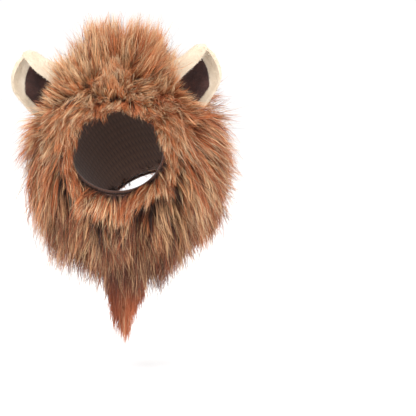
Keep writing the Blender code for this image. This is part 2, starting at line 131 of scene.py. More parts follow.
class Nodes:
    """A node tree that is being filled, of a material or of a group."""

    def __init__(self, tree: bpy.types.NodeTree) -> None:
        """Keeps the tree to fill.

        Args:
            tree: The tree, which holds no nodes that matter.
        """
        self.tree = tree

    def add(self, kind: str, **inputs: object) -> bpy.types.Node:
        """Adds a node and sets or links its inputs.

        Args:
            kind: The node's type, without ShaderNode before it.
            inputs: Values or sockets by the input's name with _ for a space, or i0, i1 by its place.

        Returns:
            The new node.
        """
        node = self.tree.nodes.new(kind if kind.startswith("NodeGroup") else f"ShaderNode{kind}")
        for name, value in inputs.items():
            self.feed(node, name, value)
        return node

    def feed(self, node: bpy.types.Node, name: str, value: object) -> None:
        """Sets one input of a node, or links a socket to it.

        Args:
            node: The node.
            name: The input's name with _ for a space, or i and its place.
            value: A plain value, or the socket that feeds it.
        """
        placed = name[0] == "i" and name[1:].isdigit()
        socket = node.inputs[int(name[1:]) if placed else name.replace("_", " ")]
        if isinstance(value, bpy.types.NodeSocket):
            self.tree.links.new(value, socket)
        else:
            socket.default_value = value

    def maths(self, operation: str, first: object, second: object = 0.0) -> bpy.types.NodeSocket:
        """The result of a Math node.

        Args:
            operation: The operation, as Blender names it.
            first: Its first value or socket.
            second: Its second value or socket.

        Returns:
            The socket that holds the result.
        """
        node = self.add("Math")
        node.operation = operation
        self.feed(node, "i0", first)
        self.feed(node, "i1", second)
        return node.outputs[0]

    def ramp(self, factor: bpy.types.NodeSocket, stops: Stops) -> bpy.types.NodeSocket:
        """A colour ramp.

        Args:
            factor: What it is read at.
            stops: Places from 0 to 1 with their display colours.

        Returns:
            The socket with the colour.
        """
        node = self.add("ValToRGB", Fac=factor)
        elements = node.color_ramp.elements
        while len(elements) < len(stops):
            elements.new(1.0)
        for element, (place, colour) in zip(elements, stops):
            element.position = place
            element.color = linear(colour)
        return node.outputs["Color"]

    def between(self, value: bpy.types.NodeSocket, low: float, high: float) -> bpy.types.NodeSocket:
        """A smooth step from 0 at low to 1 at high.

        Args:
            value: What it is read at.
            low: Where the step starts.
            high: Where it ends.

        Returns:
            The socket with the step.
        """
        node = self.add("MapRange", Value=value, From_Min=low, From_Max=high)
        node.interpolation_type = "SMOOTHSTEP"
        return node.outputs["Result"]

    def blend(self, factor: object, first: object, second: object) -> bpy.types.NodeSocket:
        """A mix of two colours.

        Args:
            factor: The share of the second.
            first: The first colour or its socket.
            second: The second colour or its socket.

        Returns:
            The socket with the mixed colour.
        """
        node = self.add("Mix")
        node.data_type = "RGBA"  # its colours are inputs 6 and 7 and output 2
        self.feed(node, "i0", factor)
        self.feed(node, "i6", first)
        self.feed(node, "i7", second)
        return node.outputs[2]


def new_material(name: str) -> tuple[bpy.types.Material, Nodes, bpy.types.Node]:
    """An empty Principled material.

    Args:
        name: Its name.

    Returns:
        The material, its tree and its shader node.
    """
    material = bpy.data.materials.new(name)
    material.use_nodes = True
    return material, Nodes(material.node_tree), material.node_tree.nodes["Principled BSDF"]


def nap_group() -> bpy.types.NodeTree:
    """The shared group for a short nap: fine fibres over broad mottling.

    Returns:
        A group with the inputs Vector and Scale and the outputs Height and Mottle.
    """
    name = "fibre_nap"
    if name in bpy.data.node_groups:
        return bpy.data.node_groups[name]
    tree = bpy.data.node_groups.new(name, "ShaderNodeTree")
    for socket, way, kind in (
        ("Vector", "INPUT", "Vector"),
        ("Scale", "INPUT", "Float"),
        ("Height", "OUTPUT", "Float"),
        ("Mottle", "OUTPUT", "Float"),
    ):
        tree.interface.new_socket(socket, in_out=way, socket_type=f"NodeSocket{kind}")
    mottle_scale, mottle_height, mottle_span = 0.09, 0.6, (0.3, 0.7)
    nodes = Nodes(tree)
    given = nodes.add("NodeGroupInput")
    where, scale = given.outputs["Vector"], given.outputs["Scale"]
    fine = nodes.add("TexNoise", Vector=where, Scale=scale, Detail=5.0, Distortion=1.2)
    broad_scale = nodes.maths("MULTIPLY", scale, mottle_scale)
    broad = nodes.add("TexNoise", Vector=where, Scale=broad_scale, Detail=3.0)
    result = nodes.add("NodeGroupOutput")
    both = nodes.maths("MULTIPLY_ADD", broad.outputs["Fac"], mottle_height)
    nodes.feed(both.node, "i2", fine.outputs["Fac"])
    nodes.feed(result, "Height", both)
    nodes.feed(result, "Mottle", nodes.between(broad.outputs["Fac"], *mottle_span))
    return tree


@dataclass(frozen=True)
class FurFinish:
    """Strands that change from root to tip, each with its own shade across the map.

    In the mane the shade runs from dark brown through rust and tan to beige. Towards the root every strand
    is darker, partly the fur's own dark roots and partly painted shade deep in the coat. Root_dullness is
    what the roughness gains at the root.
    """

    name: str
    roots: Stops
    middles: Stops
    tips: Stops
    # where the darker root colour, partly painted shade deep in the coat, gives way to the middle's
    root_end: Span = (0.05, 0.45)
    tip_start: Span = (0.45, 0.95)
    roughness: float = 0.52
    root_dullness: float = 0.15
    specular: float = 0.35
    sheen: float = 0.12
    sheen_roughness: float = 0.4

    def material(self) -> bpy.types.Material:
        """Builds the material, whose colour comes from the strands' own map alone."""
        material, nodes, shader = new_material(self.name)
        where = nodes.add("UVMap")
        where.uv_map = FUR_UV
        split = nodes.add("SeparateXYZ", Vector=where.outputs["UV"])
        shade, along = split.outputs["X"], split.outputs["Y"]
        middle = nodes.ramp(shade, self.middles)
        # darker root colour, partly the fur's own and partly painted shade deep in the coat, blended into the
        # middle's
        root_shaded = nodes.blend(nodes.between(along, *self.root_end), nodes.ramp(shade, self.roots), middle)
        tip_share = nodes.between(along, *self.tip_start)
        nodes.feed(shader, "Base_Color", nodes.blend(tip_share, root_shaded, nodes.ramp(shade, self.tips)))
        dull = self.roughness + self.root_dullness
        rough = nodes.add("MapRange", Value=along, To_Min=dull, To_Max=self.roughness)
        nodes.feed(shader, "Roughness", rough.outputs["Result"])
        nodes.feed(shader, "Specular_IOR_Level", self.specular)
        nodes.feed(shader, "Sheen_Weight", self.sheen)
        nodes.feed(shader, "Sheen_Roughness", self.sheen_roughness)
        return material


@dataclass(frozen=True)
class NapFinish:
    """Short plush or dense pile: mottled colour, fine fibres in the bump, and sheen."""

    name: str
    light: Colour
    dark: Colour
    fibre_scale: float = 900.0
    fibre_span: Span = (0.5, 1.1)
    bump: float = 0.5
    depth: float = 0.0006
    roughness: float = 0.85
    sheen: float = 0.5
    sheen_roughness: float = 0.45

    def material(self) -> bpy.types.Material:
        """Builds the material in the piece's own coordinates."""
        material, nodes, shader = new_material(self.name)
        place = nodes.add("TexCoord")
        nap = nodes.add("Group")
        nap.node_tree = nap_group()
        nodes.feed(nap, "Vector", place.outputs["Object"])
        nodes.feed(nap, "Scale", self.fibre_scale)
        fibres = nodes.between(nap.outputs["Height"], *self.fibre_span)
        share = nodes.maths("MULTIPLY", nap.outputs["Mottle"], fibres)
        nodes.feed(shader, "Base_Color", nodes.blend(share, linear(self.dark), linear(self.light)))
        bump = nodes.add("Bump", Strength=self.bump, Distance=self.depth, Height=nap.outputs["Height"])
        nodes.feed(shader, "Normal", bump.outputs["Normal"])
        nodes.feed(shader, "Roughness", self.roughness)
        nodes.feed(shader, "Sheen_Weight", self.sheen)
        nodes.feed(shader, "Sheen_Roughness", self.sheen_roughness)
        return material


@dataclass(frozen=True)
class KnitFinish:
    """Knitted cloth: columns of stitches round the piece, from its own map.

    Slant is how steep the legs of a stitch are, wear the share of yarn that shows where its fuzz is thin,
    and fuzz the height of the fuzz beside the stitches.
    """

    name: str
    yarn: Colour
    gap: Colour
    columns: float
    courses: float
    slant: float = 1.3
    leg_span: Span = (-0.1, 0.3)
    stitch_span: Span = (-0.4, 0.5)
    fibre_scale: float = 1400.0
    wear: float = 0.3
    fuzz: float = 0.4
    bump: float = 0.4
    depth: float = 0.0005
    roughness: float = 0.9
    sheen: float = 0.3

    def material(self) -> bpy.types.Material:
        """Builds the material, with a V of two legs in each stitch."""
        material, nodes, shader = new_material(self.name)
        place = nodes.add("TexCoord")
        split = nodes.add("SeparateXYZ", Vector=place.outputs["UV"])
        column = nodes.maths("MULTIPLY", split.outputs["X"], self.columns)
        course = nodes.maths("MULTIPLY", split.outputs["Y"], self.courses)
        leg = nodes.maths("PINGPONG", column, 0.5)
        slanted = nodes.maths("ADD", course, nodes.maths("MULTIPLY", leg, self.slant))
        stitch = nodes.maths("PINGPONG", slanted, 0.5)
        ridge = nodes.maths(
            "MULTIPLY", nodes.between(leg, *self.leg_span), nodes.between(stitch, *self.stitch_span)
        )
        nap = nodes.add("Group")
        nap.node_tree = nap_group()
        nodes.feed(nap, "Vector", place.outputs["Object"])
        nodes.feed(nap, "Scale", self.fibre_scale)
        worn = nodes.maths("MULTIPLY", ridge, nodes.maths("ADD", nap.outputs["Height"], self.wear))
        nodes.feed(shader, "Base_Color", nodes.blend(worn, linear(self.gap), linear(self.yarn)))
        height = nodes.maths("ADD", ridge, nodes.maths("MULTIPLY", nap.outputs["Height"], self.fuzz))
        bump = nodes.add("Bump", Strength=self.bump, Distance=self.depth, Height=height)
        nodes.feed(shader, "Normal", bump.outputs["Normal"])
        nodes.feed(shader, "Roughness", self.roughness)
        nodes.feed(shader, "Sheen_Weight", self.sheen)
        return material


MANE_FUR = FurFinish(
    name="mane_fur_long",
    roots=((0.0, (38, 23, 18)), (0.5, (64, 36, 25)), (1.0, (86, 60, 42))),
    middles=(
        (0.0, (50, 33, 27)),
        (0.18, (92, 49, 32)),
        (0.42, (172, 94, 54)),
        (0.62, (192, 118, 72)),
        (0.80, (202, 154, 108)),
        (1.0, (184, 150, 116)),
    ),
    tips=(
        (0.0, (78, 60, 50)),
        (0.18, (124, 70, 46)),
        (0.42, (196, 114, 68)),
        (0.62, (214, 146, 96)),
        (0.80, (232, 196, 152)),
        (1.0, (210, 184, 154)),
    ),
    sheen=0.06,
)
# Darker palette for the lower mane: partly its own darker fur, partly painted shade on the underside that the light
# from above leaves dim. Its dark roots, partly painted shade as well, reach further up the strands.
SHADED_LOW_FUR = replace(
    MANE_FUR,
    name="mane_fur_low",
    middles=(
        (0.0, (46, 28, 22)),
        (0.18, (82, 42, 27)),
        (0.42, (160, 84, 49)),
        (0.62, (180, 106, 64)),
        (0.80, (194, 142, 96)),
        (1.0, (180, 140, 102)),
    ),
    tips=(
        (0.0, (68, 44, 34)),
        (0.18, (112, 60, 38)),
        (0.42, (184, 102, 60)),
        (0.62, (200, 130, 82)),
        (0.80, (226, 184, 138)),
        (1.0, (206, 174, 140)),
    ),
    root_end=(0.30, 0.85),
    tip_start=(0.62, 1.0),
)
BIB_FUR = FurFinish(
    name="bib_fur_long",
    roots=((0.0, (46, 24, 18)), (1.0, (78, 42, 29))),
    middles=((0.0, (98, 46, 28)), (0.6, (168, 84, 48)), (1.0, (190, 126, 88))),
    tips=((0.0, (150, 72, 42)), (0.6, (192, 106, 64)), (1.0, (206, 158, 122))),
)
EAR_NAP = FurFinish(
    name="ear_plush_nap",
    roots=((0.0, (204, 189, 168)), (1.0, (218, 206, 188))),
    middles=((0.0, (214, 200, 180)), (1.0, (228, 217, 200))),
    tips=((0.0, (222, 209, 190)), (1.0, (234, 225, 210))),
    sheen=0.2,
)
LINING_NAP = FurFinish(
    name="ear_lining_nap",
    roots=((0.0, (40, 22, 18)), (1.0, (54, 32, 27))),
    middles=((0.0, (62, 36, 30)), (1.0, (84, 52, 44))),
    tips=((0.0, (84, 54, 46)), (1.0, (112, 76, 64))),
    sheen=0.2,
)
UNDERCOAT = NapFinish(name="undercoat_dense", light=(136, 76, 50), dark=(74, 39, 28), bump=0.8)
EAR_PLUSH = NapFinish(name="ear_plush_cloth", light=(224, 210, 190), dark=(204, 187, 164), sheen=0.15)
EAR_LINING = NapFinish(name="ear_lining_cloth", light=(84, 52, 45), dark=(50, 28, 25), sheen=0.25)
HOOD_KNIT = KnitFinish(name="hood_knit", yarn=(92, 62, 46), gap=(60, 39, 30), columns=96.0, courses=56.0)
EDGE_KNIT = KnitFinish(name="edge_knit", yarn=(84, 50, 36), gap=(42, 26, 20), columns=120.0, courses=6.0)


def deselect() -> None:
    """Leaves edit mode and deselects everything."""
    if bpy.context.mode != "OBJECT":
        bpy.ops.object.mode_set(mode="OBJECT")
    bpy.ops.object.select_all(action="DESELECT")


def activate(obj: bpy.types.Object) -> None:
    """Makes this the one selected and active object."""
    deselect()
    obj.select_set(True)
    bpy.context.view_layer.objects.active = obj


def added(name: str) -> bpy.types.Object:
    """The object that an operator has just added, with its name."""
    obj = bpy.context.active_object
    obj.name = obj.data.name = name
    return obj


def finish_piece(obj: bpy.types.Object, node: str, material: bpy.types.Material) -> None:
    """Dresses a finished piece and puts it in the place of a CAD node.

    Args:
        obj: The piece, with its object at the origin.
        node: The CAD node that it stands for.
        material: Its material.
    """
    obj.data.materials.clear()
    obj.data.materials.append(material)
    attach(obj, "root")
    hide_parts(node)
    LOG.info("%s: %d faces", obj.name, len(obj.data.polygons))


def place_points(obj: bpy.types.Object, points: np.ndarray) -> None:
    """Moves the mesh's vertices to these points, in metres."""
    obj.data.vertices.foreach_set("co", points.astype(np.float32).ravel())
    obj.data.update()


def read_points(obj: bpy.types.Object) -> np.ndarray:
    """The mesh's vertices, one row each."""
    points = np.zeros(len(obj.data.vertices) * 3, np.float32)
    obj.data.vertices.foreach_get("co", points)
    return points.reshape(-1, 3).astype(float)


def new_ring(name: str, around: int, across: int) -> tuple[bpy.types.Object, np.ndarray, np.ndarray]:
    """A ring that is to be shaped: a torus primitive with the angles of its vertices.

    Args:
        name: The piece's name.
        around: How many vertices go round it.
        across: How many go round its section.

    Returns:
        The object, and each vertex's angle round the ring and round its section, from 0 to 2 pi.
    """
    major = 1.0
    deselect()
    bpy.ops.mesh.primitive_torus_add(
        major_segments=around, minor_segments=across, major_radius=major, minor_radius=major / 4
    )
    obj = added(name)
    points = read_points(obj)
    reach = np.hypot(points[:, 0], points[:, 1])
    round_ring = np.arctan2(points[:, 1], points[:, 0]) % (2 * math.pi)
    return obj, round_ring, np.arctan2(points[:, 2], reach - major) % (2 * math.pi)


def smooth_piece(obj: bpy.types.Object, levels: int = 0) -> None:
    """Turns a shaped mesh's faces outwards, smooths it and subdivides it.

    Args:
        obj: The piece.
        levels: Levels of subdivision, which are applied.
    """
    activate(obj)
    bpy.ops.object.mode_set(mode="EDIT")
    bpy.ops.mesh.select_all(action="SELECT")
    bpy.ops.mesh.normals_make_consistent(inside=False)
    bpy.ops.object.mode_set(mode="OBJECT")
    if levels:
        modifier = obj.modifiers.new("Rounding", "SUBSURF")
        modifier.levels = modifier.render_levels = levels
        bpy.ops.object.modifier_apply(modifier=modifier.name)
    bpy.ops.object.shade_smooth()


@dataclass
class HoodForm:
    """The hood's inner face: a bent tube from the face opening to the neck opening.

    Cloth is its thickness, gap the room between it and what lies on it, and pile the height of the dense
    fur. Slices are how many sections long fur is tested against, and slice_reach how far each reaches, as a
    share of the widest gap between them. Crown_slices are those that the ears' bases are tested against.
    """

    face_width: float = 0.096
    face_height: float = 0.086
    head_width: float = 0.122
    head_height: float = 0.124
    neck_width: float = 0.118
    neck_height: float = 0.106
    face_forward: float = 0.040
    face_drop: float = 0.008
    neck_back: float = 0.070
    neck_drop: float = 0.074
    neck_side: float = 0.036
    neck_pitch: float = 52.0
    neck_yaw: float = 25.0
    cloth: float = 0.002
    gap: float = 0.0003
    pile: float = 0.020
    step: float = 0.01
    slices: int = 26
    slice_reach: float = 0.6
    crown_slices: int = 60
    sections: Rows = (
        # station, forward, back, bend, face, neck
        (0.00, 1.00, 0.00, 0.00, 1.00, 0.00),
        (0.09, 0.84, 0.00, 0.00, 0.58, 0.00),
        (0.19, 0.52, 0.00, 0.00, 0.18, 0.00),
        (0.34, 0.00, 0.00, 0.00, 0.00, 0.00),
        (0.56, 0.00, 0.36, 0.22, 0.00, 0.20),
        (0.78, 0.00, 0.70, 0.58, 0.00, 0.65),
        (1.00, 0.00, 1.00, 1.00, 0.00, 1.00),
    )
    pile_along: Rows = (
        # station, height
        (0.00, 0.30),
        (0.10, 0.80),
        (0.22, 1.00),
        (0.80, 1.00),
        (0.93, 0.70),
        (1.00, 0.20),
    )

    def axes(self, station: np.ndarray) -> tuple[np.ndarray, ...]:
        """Sections of the hood.

        Args:
            station: From 0 at the face to 1 at the neck.

        Returns:
            Centres, sideways, upward and lengthwise axes, half widths and half heights.
        """
        forward, back, bend, face, neck = eased(self.sections, station).T
        head = 1.0 - face - neck
        width = (self.face_width * face + self.head_width * head + self.neck_width * neck) / 2
        height = (self.face_height * face + self.head_height * head + self.neck_height * neck) / 2
        pitch, yaw = math.radians(self.neck_pitch) * bend, math.radians(self.neck_yaw) * bend
        x = self.neck_side * bend
        y = self.neck_back * back - self.face_forward * forward
        z = -self.head_height / 2 - self.face_drop * forward - self.neck_drop * bend
        side = np.stack((np.cos(yaw), -np.sin(yaw), 0 * yaw), axis=-1)
        along = np.stack((np.sin(yaw) * np.cos(pitch), np.cos(yaw) * np.cos(pitch), -np.sin(pitch)), axis=-1)
        return np.stack((x, y, z), axis=-1), side, np.cross(side, along), along, width, height

    def inside(self, station: np.ndarray, turn: np.ndarray) -> np.ndarray:
        """Points of the inner face, at turns in radians from the top towards +X."""
        centre, side, up, _, width, height = self.axes(station)
        return centre + side * (width * np.sin(turn))[:, None] + up * (height * np.cos(turn))[:, None]

    def slopes(self, station: np.ndarray, turn: np.ndarray) -> tuple[np.ndarray, np.ndarray]:
        """The outward normals, and the directions from the face to the neck."""
        low, high = np.maximum(0.0, station - self.step), np.minimum(1.0, station + self.step)
        along = unit(self.inside(high, turn) - self.inside(low, turn))
        around = self.inside(station, turn + self.step) - self.inside(station, turn - self.step)
        return unit(np.cross(around, along)), along

    def point(self, station: np.ndarray, turn: np.ndarray, out: np.ndarray | float) -> np.ndarray:
        """Points that lie this far outside the inner face."""
        return self.inside(station, turn) + self.slopes(station, turn)[0] * np.reshape(out, (-1, 1))

    def pile_height(self, station: np.ndarray) -> np.ndarray:
        """The height of the dense pile at these stations."""
        return self.pile * eased(self.pile_along, station)[:, 0]

    def enters(self, paths: np.ndarray) -> np.ndarray:
        """Which paths of fur come inside the hood.

        Args:
            paths: Paths, points and coordinates.

        Returns:
            True for each path that does.
        """
        stations = np.linspace(0.0, 1.0, self.slices)
        centre, side, up, along, width, height = self.axes(stations)
        found = np.zeros(paths.shape[:2], bool)
        reach = np.linalg.norm(np.diff(centre, axis=0), axis=1).max() * self.slice_reach
        for k in range(len(stations)):
            way = paths - centre[k]
            across = np.hypot(way @ side[k] / width[k], way @ up[k] / height[k])
            found |= (across < 1.0) & (np.abs(way @ along[k]) < reach)
        return found.any(axis=1)

    def sunk(self, points: np.ndarray) -> np.ndarray:
        """How far from the hood's middle line points near its crown lie, 1 at the outside of the cloth."""
        stations = np.linspace(0.0, 1.0, self.crown_slices)
        station = np.interp(points[:, 1], self.axes(stations)[0][:, 1], stations)
        centre, side, up, _, width, height = self.axes(station)
        way = points - centre
        wall = self.cloth + self.gap
        across = np.sum(way * side, axis=1) / (width + wall)
        upward = np.sum(way * up, axis=1) / (height + wall)
        return np.hypot(across, upward)


@dataclass
class Hood:
    """The knitted hood that the fur grows from, with a rolled hem at the face and at the neck.

    Overrun is where the stations of its section turn back, past the neck, which leaves room for the rim.
    Rounding is how soon both rims are round.
    """

    form: HoodForm
    hem: float = 0.0032
    overrun: float = 1.02
    rounding: float = 60.0
    around: int = 128
    across: int = 72
    hem_sides: int = 12
    hem_stitches: int = 88
    hem_ripple: float = 0.08

    def wall(self) -> bpy.types.Object:
        """The cloth of the hood, a ring whose section goes down its outside and back along its inside."""
        obj, turn, section = new_ring("hood_knit", self.around, self.across)
        share = section / (2 * math.pi)
        station = np.clip(self.overrun - np.abs(2 * self.overrun * share - self.overrun), 0.0, 1.0)
        from_rim = np.minimum(share, np.abs(share - 0.5))
        edge = 0.5 - 0.5 * np.cos(np.clip(from_rim * self.rounding, 0, 1) * math.pi)
        out = np.where(share < 0.5, 0.5 + 0.5 * edge, 0.5 - 0.5 * edge)
        place_points(obj, self.form.point(station, turn, out * self.form.cloth))
        smooth_piece(obj)
        return obj

    def edge(self, name: str, station: float) -> bpy.types.Object:
        """The rolled hem at the face, station 0, or at the neck, station 1.

        Args:
            name: The piece's name.
            station: The hood's station.

        Returns:
            The hem, with the slight ripple of its stitches.
        """
        obj, turn, section = new_ring(name, self.around * 2, self.hem_sides)
        at = np.full(len(turn), station)
        out, along = self.form.slopes(at, turn)
        outwards = along * (1.0 if station else -1.0)
        middle = self.form.point(at, turn, self.form.cloth / 2) + outwards * (self.hem / 2 + self.form.gap)
        ripple = 1.0 - self.hem_ripple * np.sin(turn * self.hem_stitches / 2) ** 2
        reach = (self.hem / 2 * ripple)[:, None]
        place_points(obj, middle + (out * np.cos(section)[:, None] + outwards * np.sin(section)[:, None]) * reach)
        smooth_piece(obj)
        return obj

    def cut_size(self) -> tuple[tuple[float, float], float]:
        """The flat cut of the cloth.

        Returns:
            Its width round the hood and its length from the face to the neck, and its area.
        """
        stations, turns = np.linspace(0.0, 1.0, self.across), np.linspace(0.0, 2 * math.pi, self.around)
        station, turn = (grid.ravel() for grid in np.meshgrid(stations, turns, indexing="ij"))
        middle = self.form.point(station, turn, self.form.cloth / 2).reshape(self.across, self.around, 3)
        along, around = np.diff(middle, axis=0)[:, :-1], np.diff(middle, axis=1)[:-1]
        area = np.linalg.norm(np.cross(along, around), axis=2).sum()
        width = np.linalg.norm(around, axis=2).sum(axis=1).max()
        length = np.linalg.norm(along, axis=2).sum(axis=0).max()
        return (float(width), float(length)), float(area)

    def build(self) -> None:
        """Builds and dresses the hood and its hems."""
        wall = self.wall()
        finish_piece(wall, "hood_backing", HOOD_KNIT.material())
        trim = EDGE_KNIT.material()
        edges = [self.edge(f"{name}_edge", station) for name, station in (("face", 0.0), ("neck", 1.0))]
        for edge, node in zip(edges, ("face_hem", "neck_hem")):
            finish_piece(edge, node, trim)
        flat, area = self.cut_size()


@dataclass
class Strands:
    """Strands of fur: their points from root to tip, the way that each faces, their shades and widths.

    Late is the power that lets finer strands draw together late on their way, wander the shares of their
    wobble that they stray by, and bends how many waves that makes. Cuts are the shares of its length that a
    strand astray is cut to in turn. Taper holds places along a ribbon and its width at each, roll is the
    spread in radians of its turn about its own length, and breadths are the shares that its width varies by.
    """

    paths: np.ndarray
    facing: np.ndarray
    shades: np.ndarray
    widths: np.ndarray
    late: ClassVar[float] = 1.3
    wander: ClassVar[Span] = (0.3, 1.0)
    bends: ClassVar[Span] = (0.4, 1.1)
    cuts: ClassVar[tuple[float, ...]] = (0.85, 0.7, 0.55, 0.4, 0.28)
    taper: ClassVar[Rows] = ((0.0, 0.25, 0.7, 1.0), (0.8, 1.0, 0.8, 0.15))
    roll: ClassVar[float] = 0.6
    breadths: ClassVar[Span] = (0.7, 1.3)

    def keep(self, wanted: np.ndarray) -> "Strands":
        """The strands that a mask names."""
        return Strands(self.paths[wanted], self.facing[wanted], self.shades[wanted], self.widths[wanted])

    def shaded(self, shades: np.ndarray) -> "Strands":
        """The same strands with these shades, held to the map."""
        return Strands(self.paths, self.facing, np.clip(shades, *MAP_SPAN), self.widths)

    def beside(self, other: "Strands") -> "Strands":
        """These strands and others as one."""
        return Strands(
            np.concatenate((self.paths, other.paths)),
            np.concatenate((self.facing, other.facing)),
            np.concatenate((self.shades, other.shades)),
            np.concatenate((self.widths, other.widths)),
        )

    def split(
        self,
        count: int,
        radius: float,
        clump: float,
        wobble: float,
        lengths: Span,
        rng: np.random.Generator,
    ) -> "Strands":
        """Divides each strand into finer ones that start round its root and draw together at its tip.

        Args:
            count: How many each becomes.
            radius: How far from its root they start.
            clump: How far they draw together at the tip, from 0 to 1.
            wobble: How far they stray on the way, as a share of their length.
            lengths: The shortest and the longest, as shares of its length.
            rng: The source of chance.

        Returns:
            The finer strands.
        """
        total = len(self.paths) * count
        whole = np.repeat(self.paths, count, axis=0)
        facing = np.repeat(self.facing, count, axis=0)
        many = Strands(whole, facing, np.repeat(self.shades, count), np.repeat(self.widths, count))
        paths = many.cut(rng.uniform(*lengths, total)).paths
        along = np.linspace(0.0, 1.0, paths.shape[1])
        start = unit(whole[:, 1] - whole[:, 0])
        side = unit(np.cross(start, facing))
        other = np.cross(side, start)
        angle = rng.uniform(0.0, 2 * math.pi, total)
        away = radius * np.sqrt(rng.uniform(0.0, 1.0, total))
        offset = side * (np.cos(angle) * away)[:, None] + other * (np.sin(angle) * away)[:, None]
        drawn = 1.0 - clump * along**self.late
        paths += offset[:, None, :] * drawn[None, :, None]
        reach = np.linalg.norm(whole[:, -1] - whole[:, 0], axis=1)
        stray = unit(rng.normal(size=(total, 3))) * (wobble * reach * rng.uniform(*self.wander, total))[:, None]
        phase, bends = rng.uniform(0.0, 2 * math.pi, total), rng.uniform(*self.bends, total)
        curve = np.sin(phase[:, None] + along * (bends * 2 * math.pi)[:, None]) - np.sin(phase)[:, None]
        paths += stray[:, None, :] * (curve * along)[..., None]
        return Strands(paths, facing, many.shades, many.widths)

    def cut(self, share: np.ndarray | float) -> "Strands":
        """The strands cut to a share of their length, or to one share each with its curve kept."""
        count, steps = self.paths.shape[:2]
        place = np.linspace(0.0, 1.0, steps) * np.ones((count, 1)) * np.reshape(share, (-1, 1)) * (steps - 1)
        index = np.minimum(place.astype(int), steps - 2)
        rest = (place - index)[..., None]
        rows = np.arange(count)[:, None]
        paths = self.paths[rows, index] * (1.0 - rest) + self.paths[rows, index + 1] * rest
        return Strands(paths, self.facing, self.shades, self.widths)

    def held(self, astray: Callable[[np.ndarray], np.ndarray]) -> "Strands":
        """Cuts the strands that a test of their paths finds astray, and drops those that no cut mends."""
        paths = self.paths.copy()
        wrong = astray(paths)
        for share in self.cuts:
            paths[wrong] = self.keep(wrong).cut(share).paths
            wrong[wrong] = astray(paths[wrong])
        return Strands(paths, self.facing, self.shades, self.widths).keep(~wrong)

    def within(self, low: np.ndarray, high: np.ndarray) -> "Strands":
        """Cuts the strands that leave the box between two corners back into it."""
        return self.held(lambda paths: np.any((paths < low) | (paths > high), axis=(1, 2)))

    def mesh(self, name: str, rng: np.random.Generator) -> bpy.types.Object:
        """Makes one object of tapered ribbons, each turned a little at random about its own length.

        Args:
            name: The piece's name.
            rng: The source of chance.

        Returns:
            The object, with the strands' map on it.
        """
        paths, count, steps = self.paths, len(self.paths), self.paths.shape[1]
        run = unit(np.gradient(paths, axis=1))
        roll = rng.normal(0.0, self.roll, count)[:, None, None]
        facing = np.repeat(self.facing[:, None, :], steps, axis=1)
        side = unit(np.cross(run, facing))
        side = unit(side * np.cos(roll) + np.cross(run, side) * np.sin(roll))
        along = np.linspace(0.0, 1.0, steps)
        taper = np.interp(along, *self.taper)
        half = (self.widths / 2 * rng.uniform(*self.breadths, count))[:, None, None] * taper[None, :, None]
        pairs = steps - 1
        points = np.empty((count, 2 * pairs + 1, 3), np.float32)
        points[:, 0 : 2 * pairs : 2] = (paths - side * half)[:, :pairs]
        points[:, 1 : 2 * pairs : 2] = (paths + side * half)[:, :pairs]
        points[:, -1] = paths[:, -1]
        quads = np.array([(2 * k, 2 * k + 1, 2 * k + 3, 2 * k + 2) for k in range(pairs - 1)])
        corners = np.concatenate((quads.ravel(), (2 * pairs - 2, 2 * pairs - 1, 2 * pairs)))
        starts = np.arange(pairs) * 4
        first = (np.arange(count) * points.shape[1])[:, None]
        first_corner = (np.arange(count) * len(corners))[:, None]
        mesh = bpy.data.meshes.new(name)
        mesh.vertices.add(count * points.shape[1])
        mesh.vertices.foreach_set("co", points.ravel())
        mesh.loops.add(count * len(corners))
        mesh.loops.foreach_set("vertex_index", (first + corners).ravel().astype(np.int32))
        mesh.polygons.add(count * pairs)
        mesh.polygons.foreach_set("loop_start", (first_corner + starts).ravel().astype(np.int32))
        mesh.update(calc_edges=True)
        level = np.append(np.repeat(along[:pairs], 2), 1.0)
        uv = np.empty((count, len(corners), 2), np.float32)
        uv[..., 0] = self.shades[:, None]
        uv[..., 1] = np.clip(level, *MAP_SPAN)[corners]
        mesh.uv_layers.new(name=FUR_UV).data.foreach_set("uv", uv.ravel())
        mesh.polygons.foreach_set("use_smooth", np.ones(count * pairs, bool))
        obj = bpy.data.objects.new(name, mesh)
        bpy.context.scene.collection.objects.link(obj)
        return obj


def grow(root: np.ndarray, heading: np.ndarray, length: np.ndarray, droop: np.ndarray, steps: int) -> np.ndarray:
    """Paths that leave their roots in these headings and droop under their weight.

    Args:
        root: Where they start.
        heading: Their first directions.
        length: Their lengths.
        droop: How strongly they turn down.
        steps: How many points each has.

    Returns:
        An array of paths, points and coordinates.
    """
    paths = [root]
    heading = unit(heading)
    for _ in range(steps - 1):
        heading = unit(heading + DOWN * (droop / (steps - 1))[:, None])
        paths.append(paths[-1] + heading * (length / (steps - 1))[:, None])
    return np.stack(paths, axis=1)


def waves(points: np.ndarray, size: float, seed: int) -> np.ndarray:
    """A smooth random vector at each point, which changes over about this size."""
    rng = np.random.default_rng(seed)
    total = np.zeros_like(points)
    count, spread = 6, (0.6, 1.4)
    for _ in range(count):
        direction = unit(rng.normal(size=3)) * 2 * math.pi / size * rng.uniform(*spread)
        total += np.sin(points @ direction + rng.uniform(0, 2 * math.pi))[:, None] * unit(rng.normal(size=3))
    return total / math.sqrt(count)


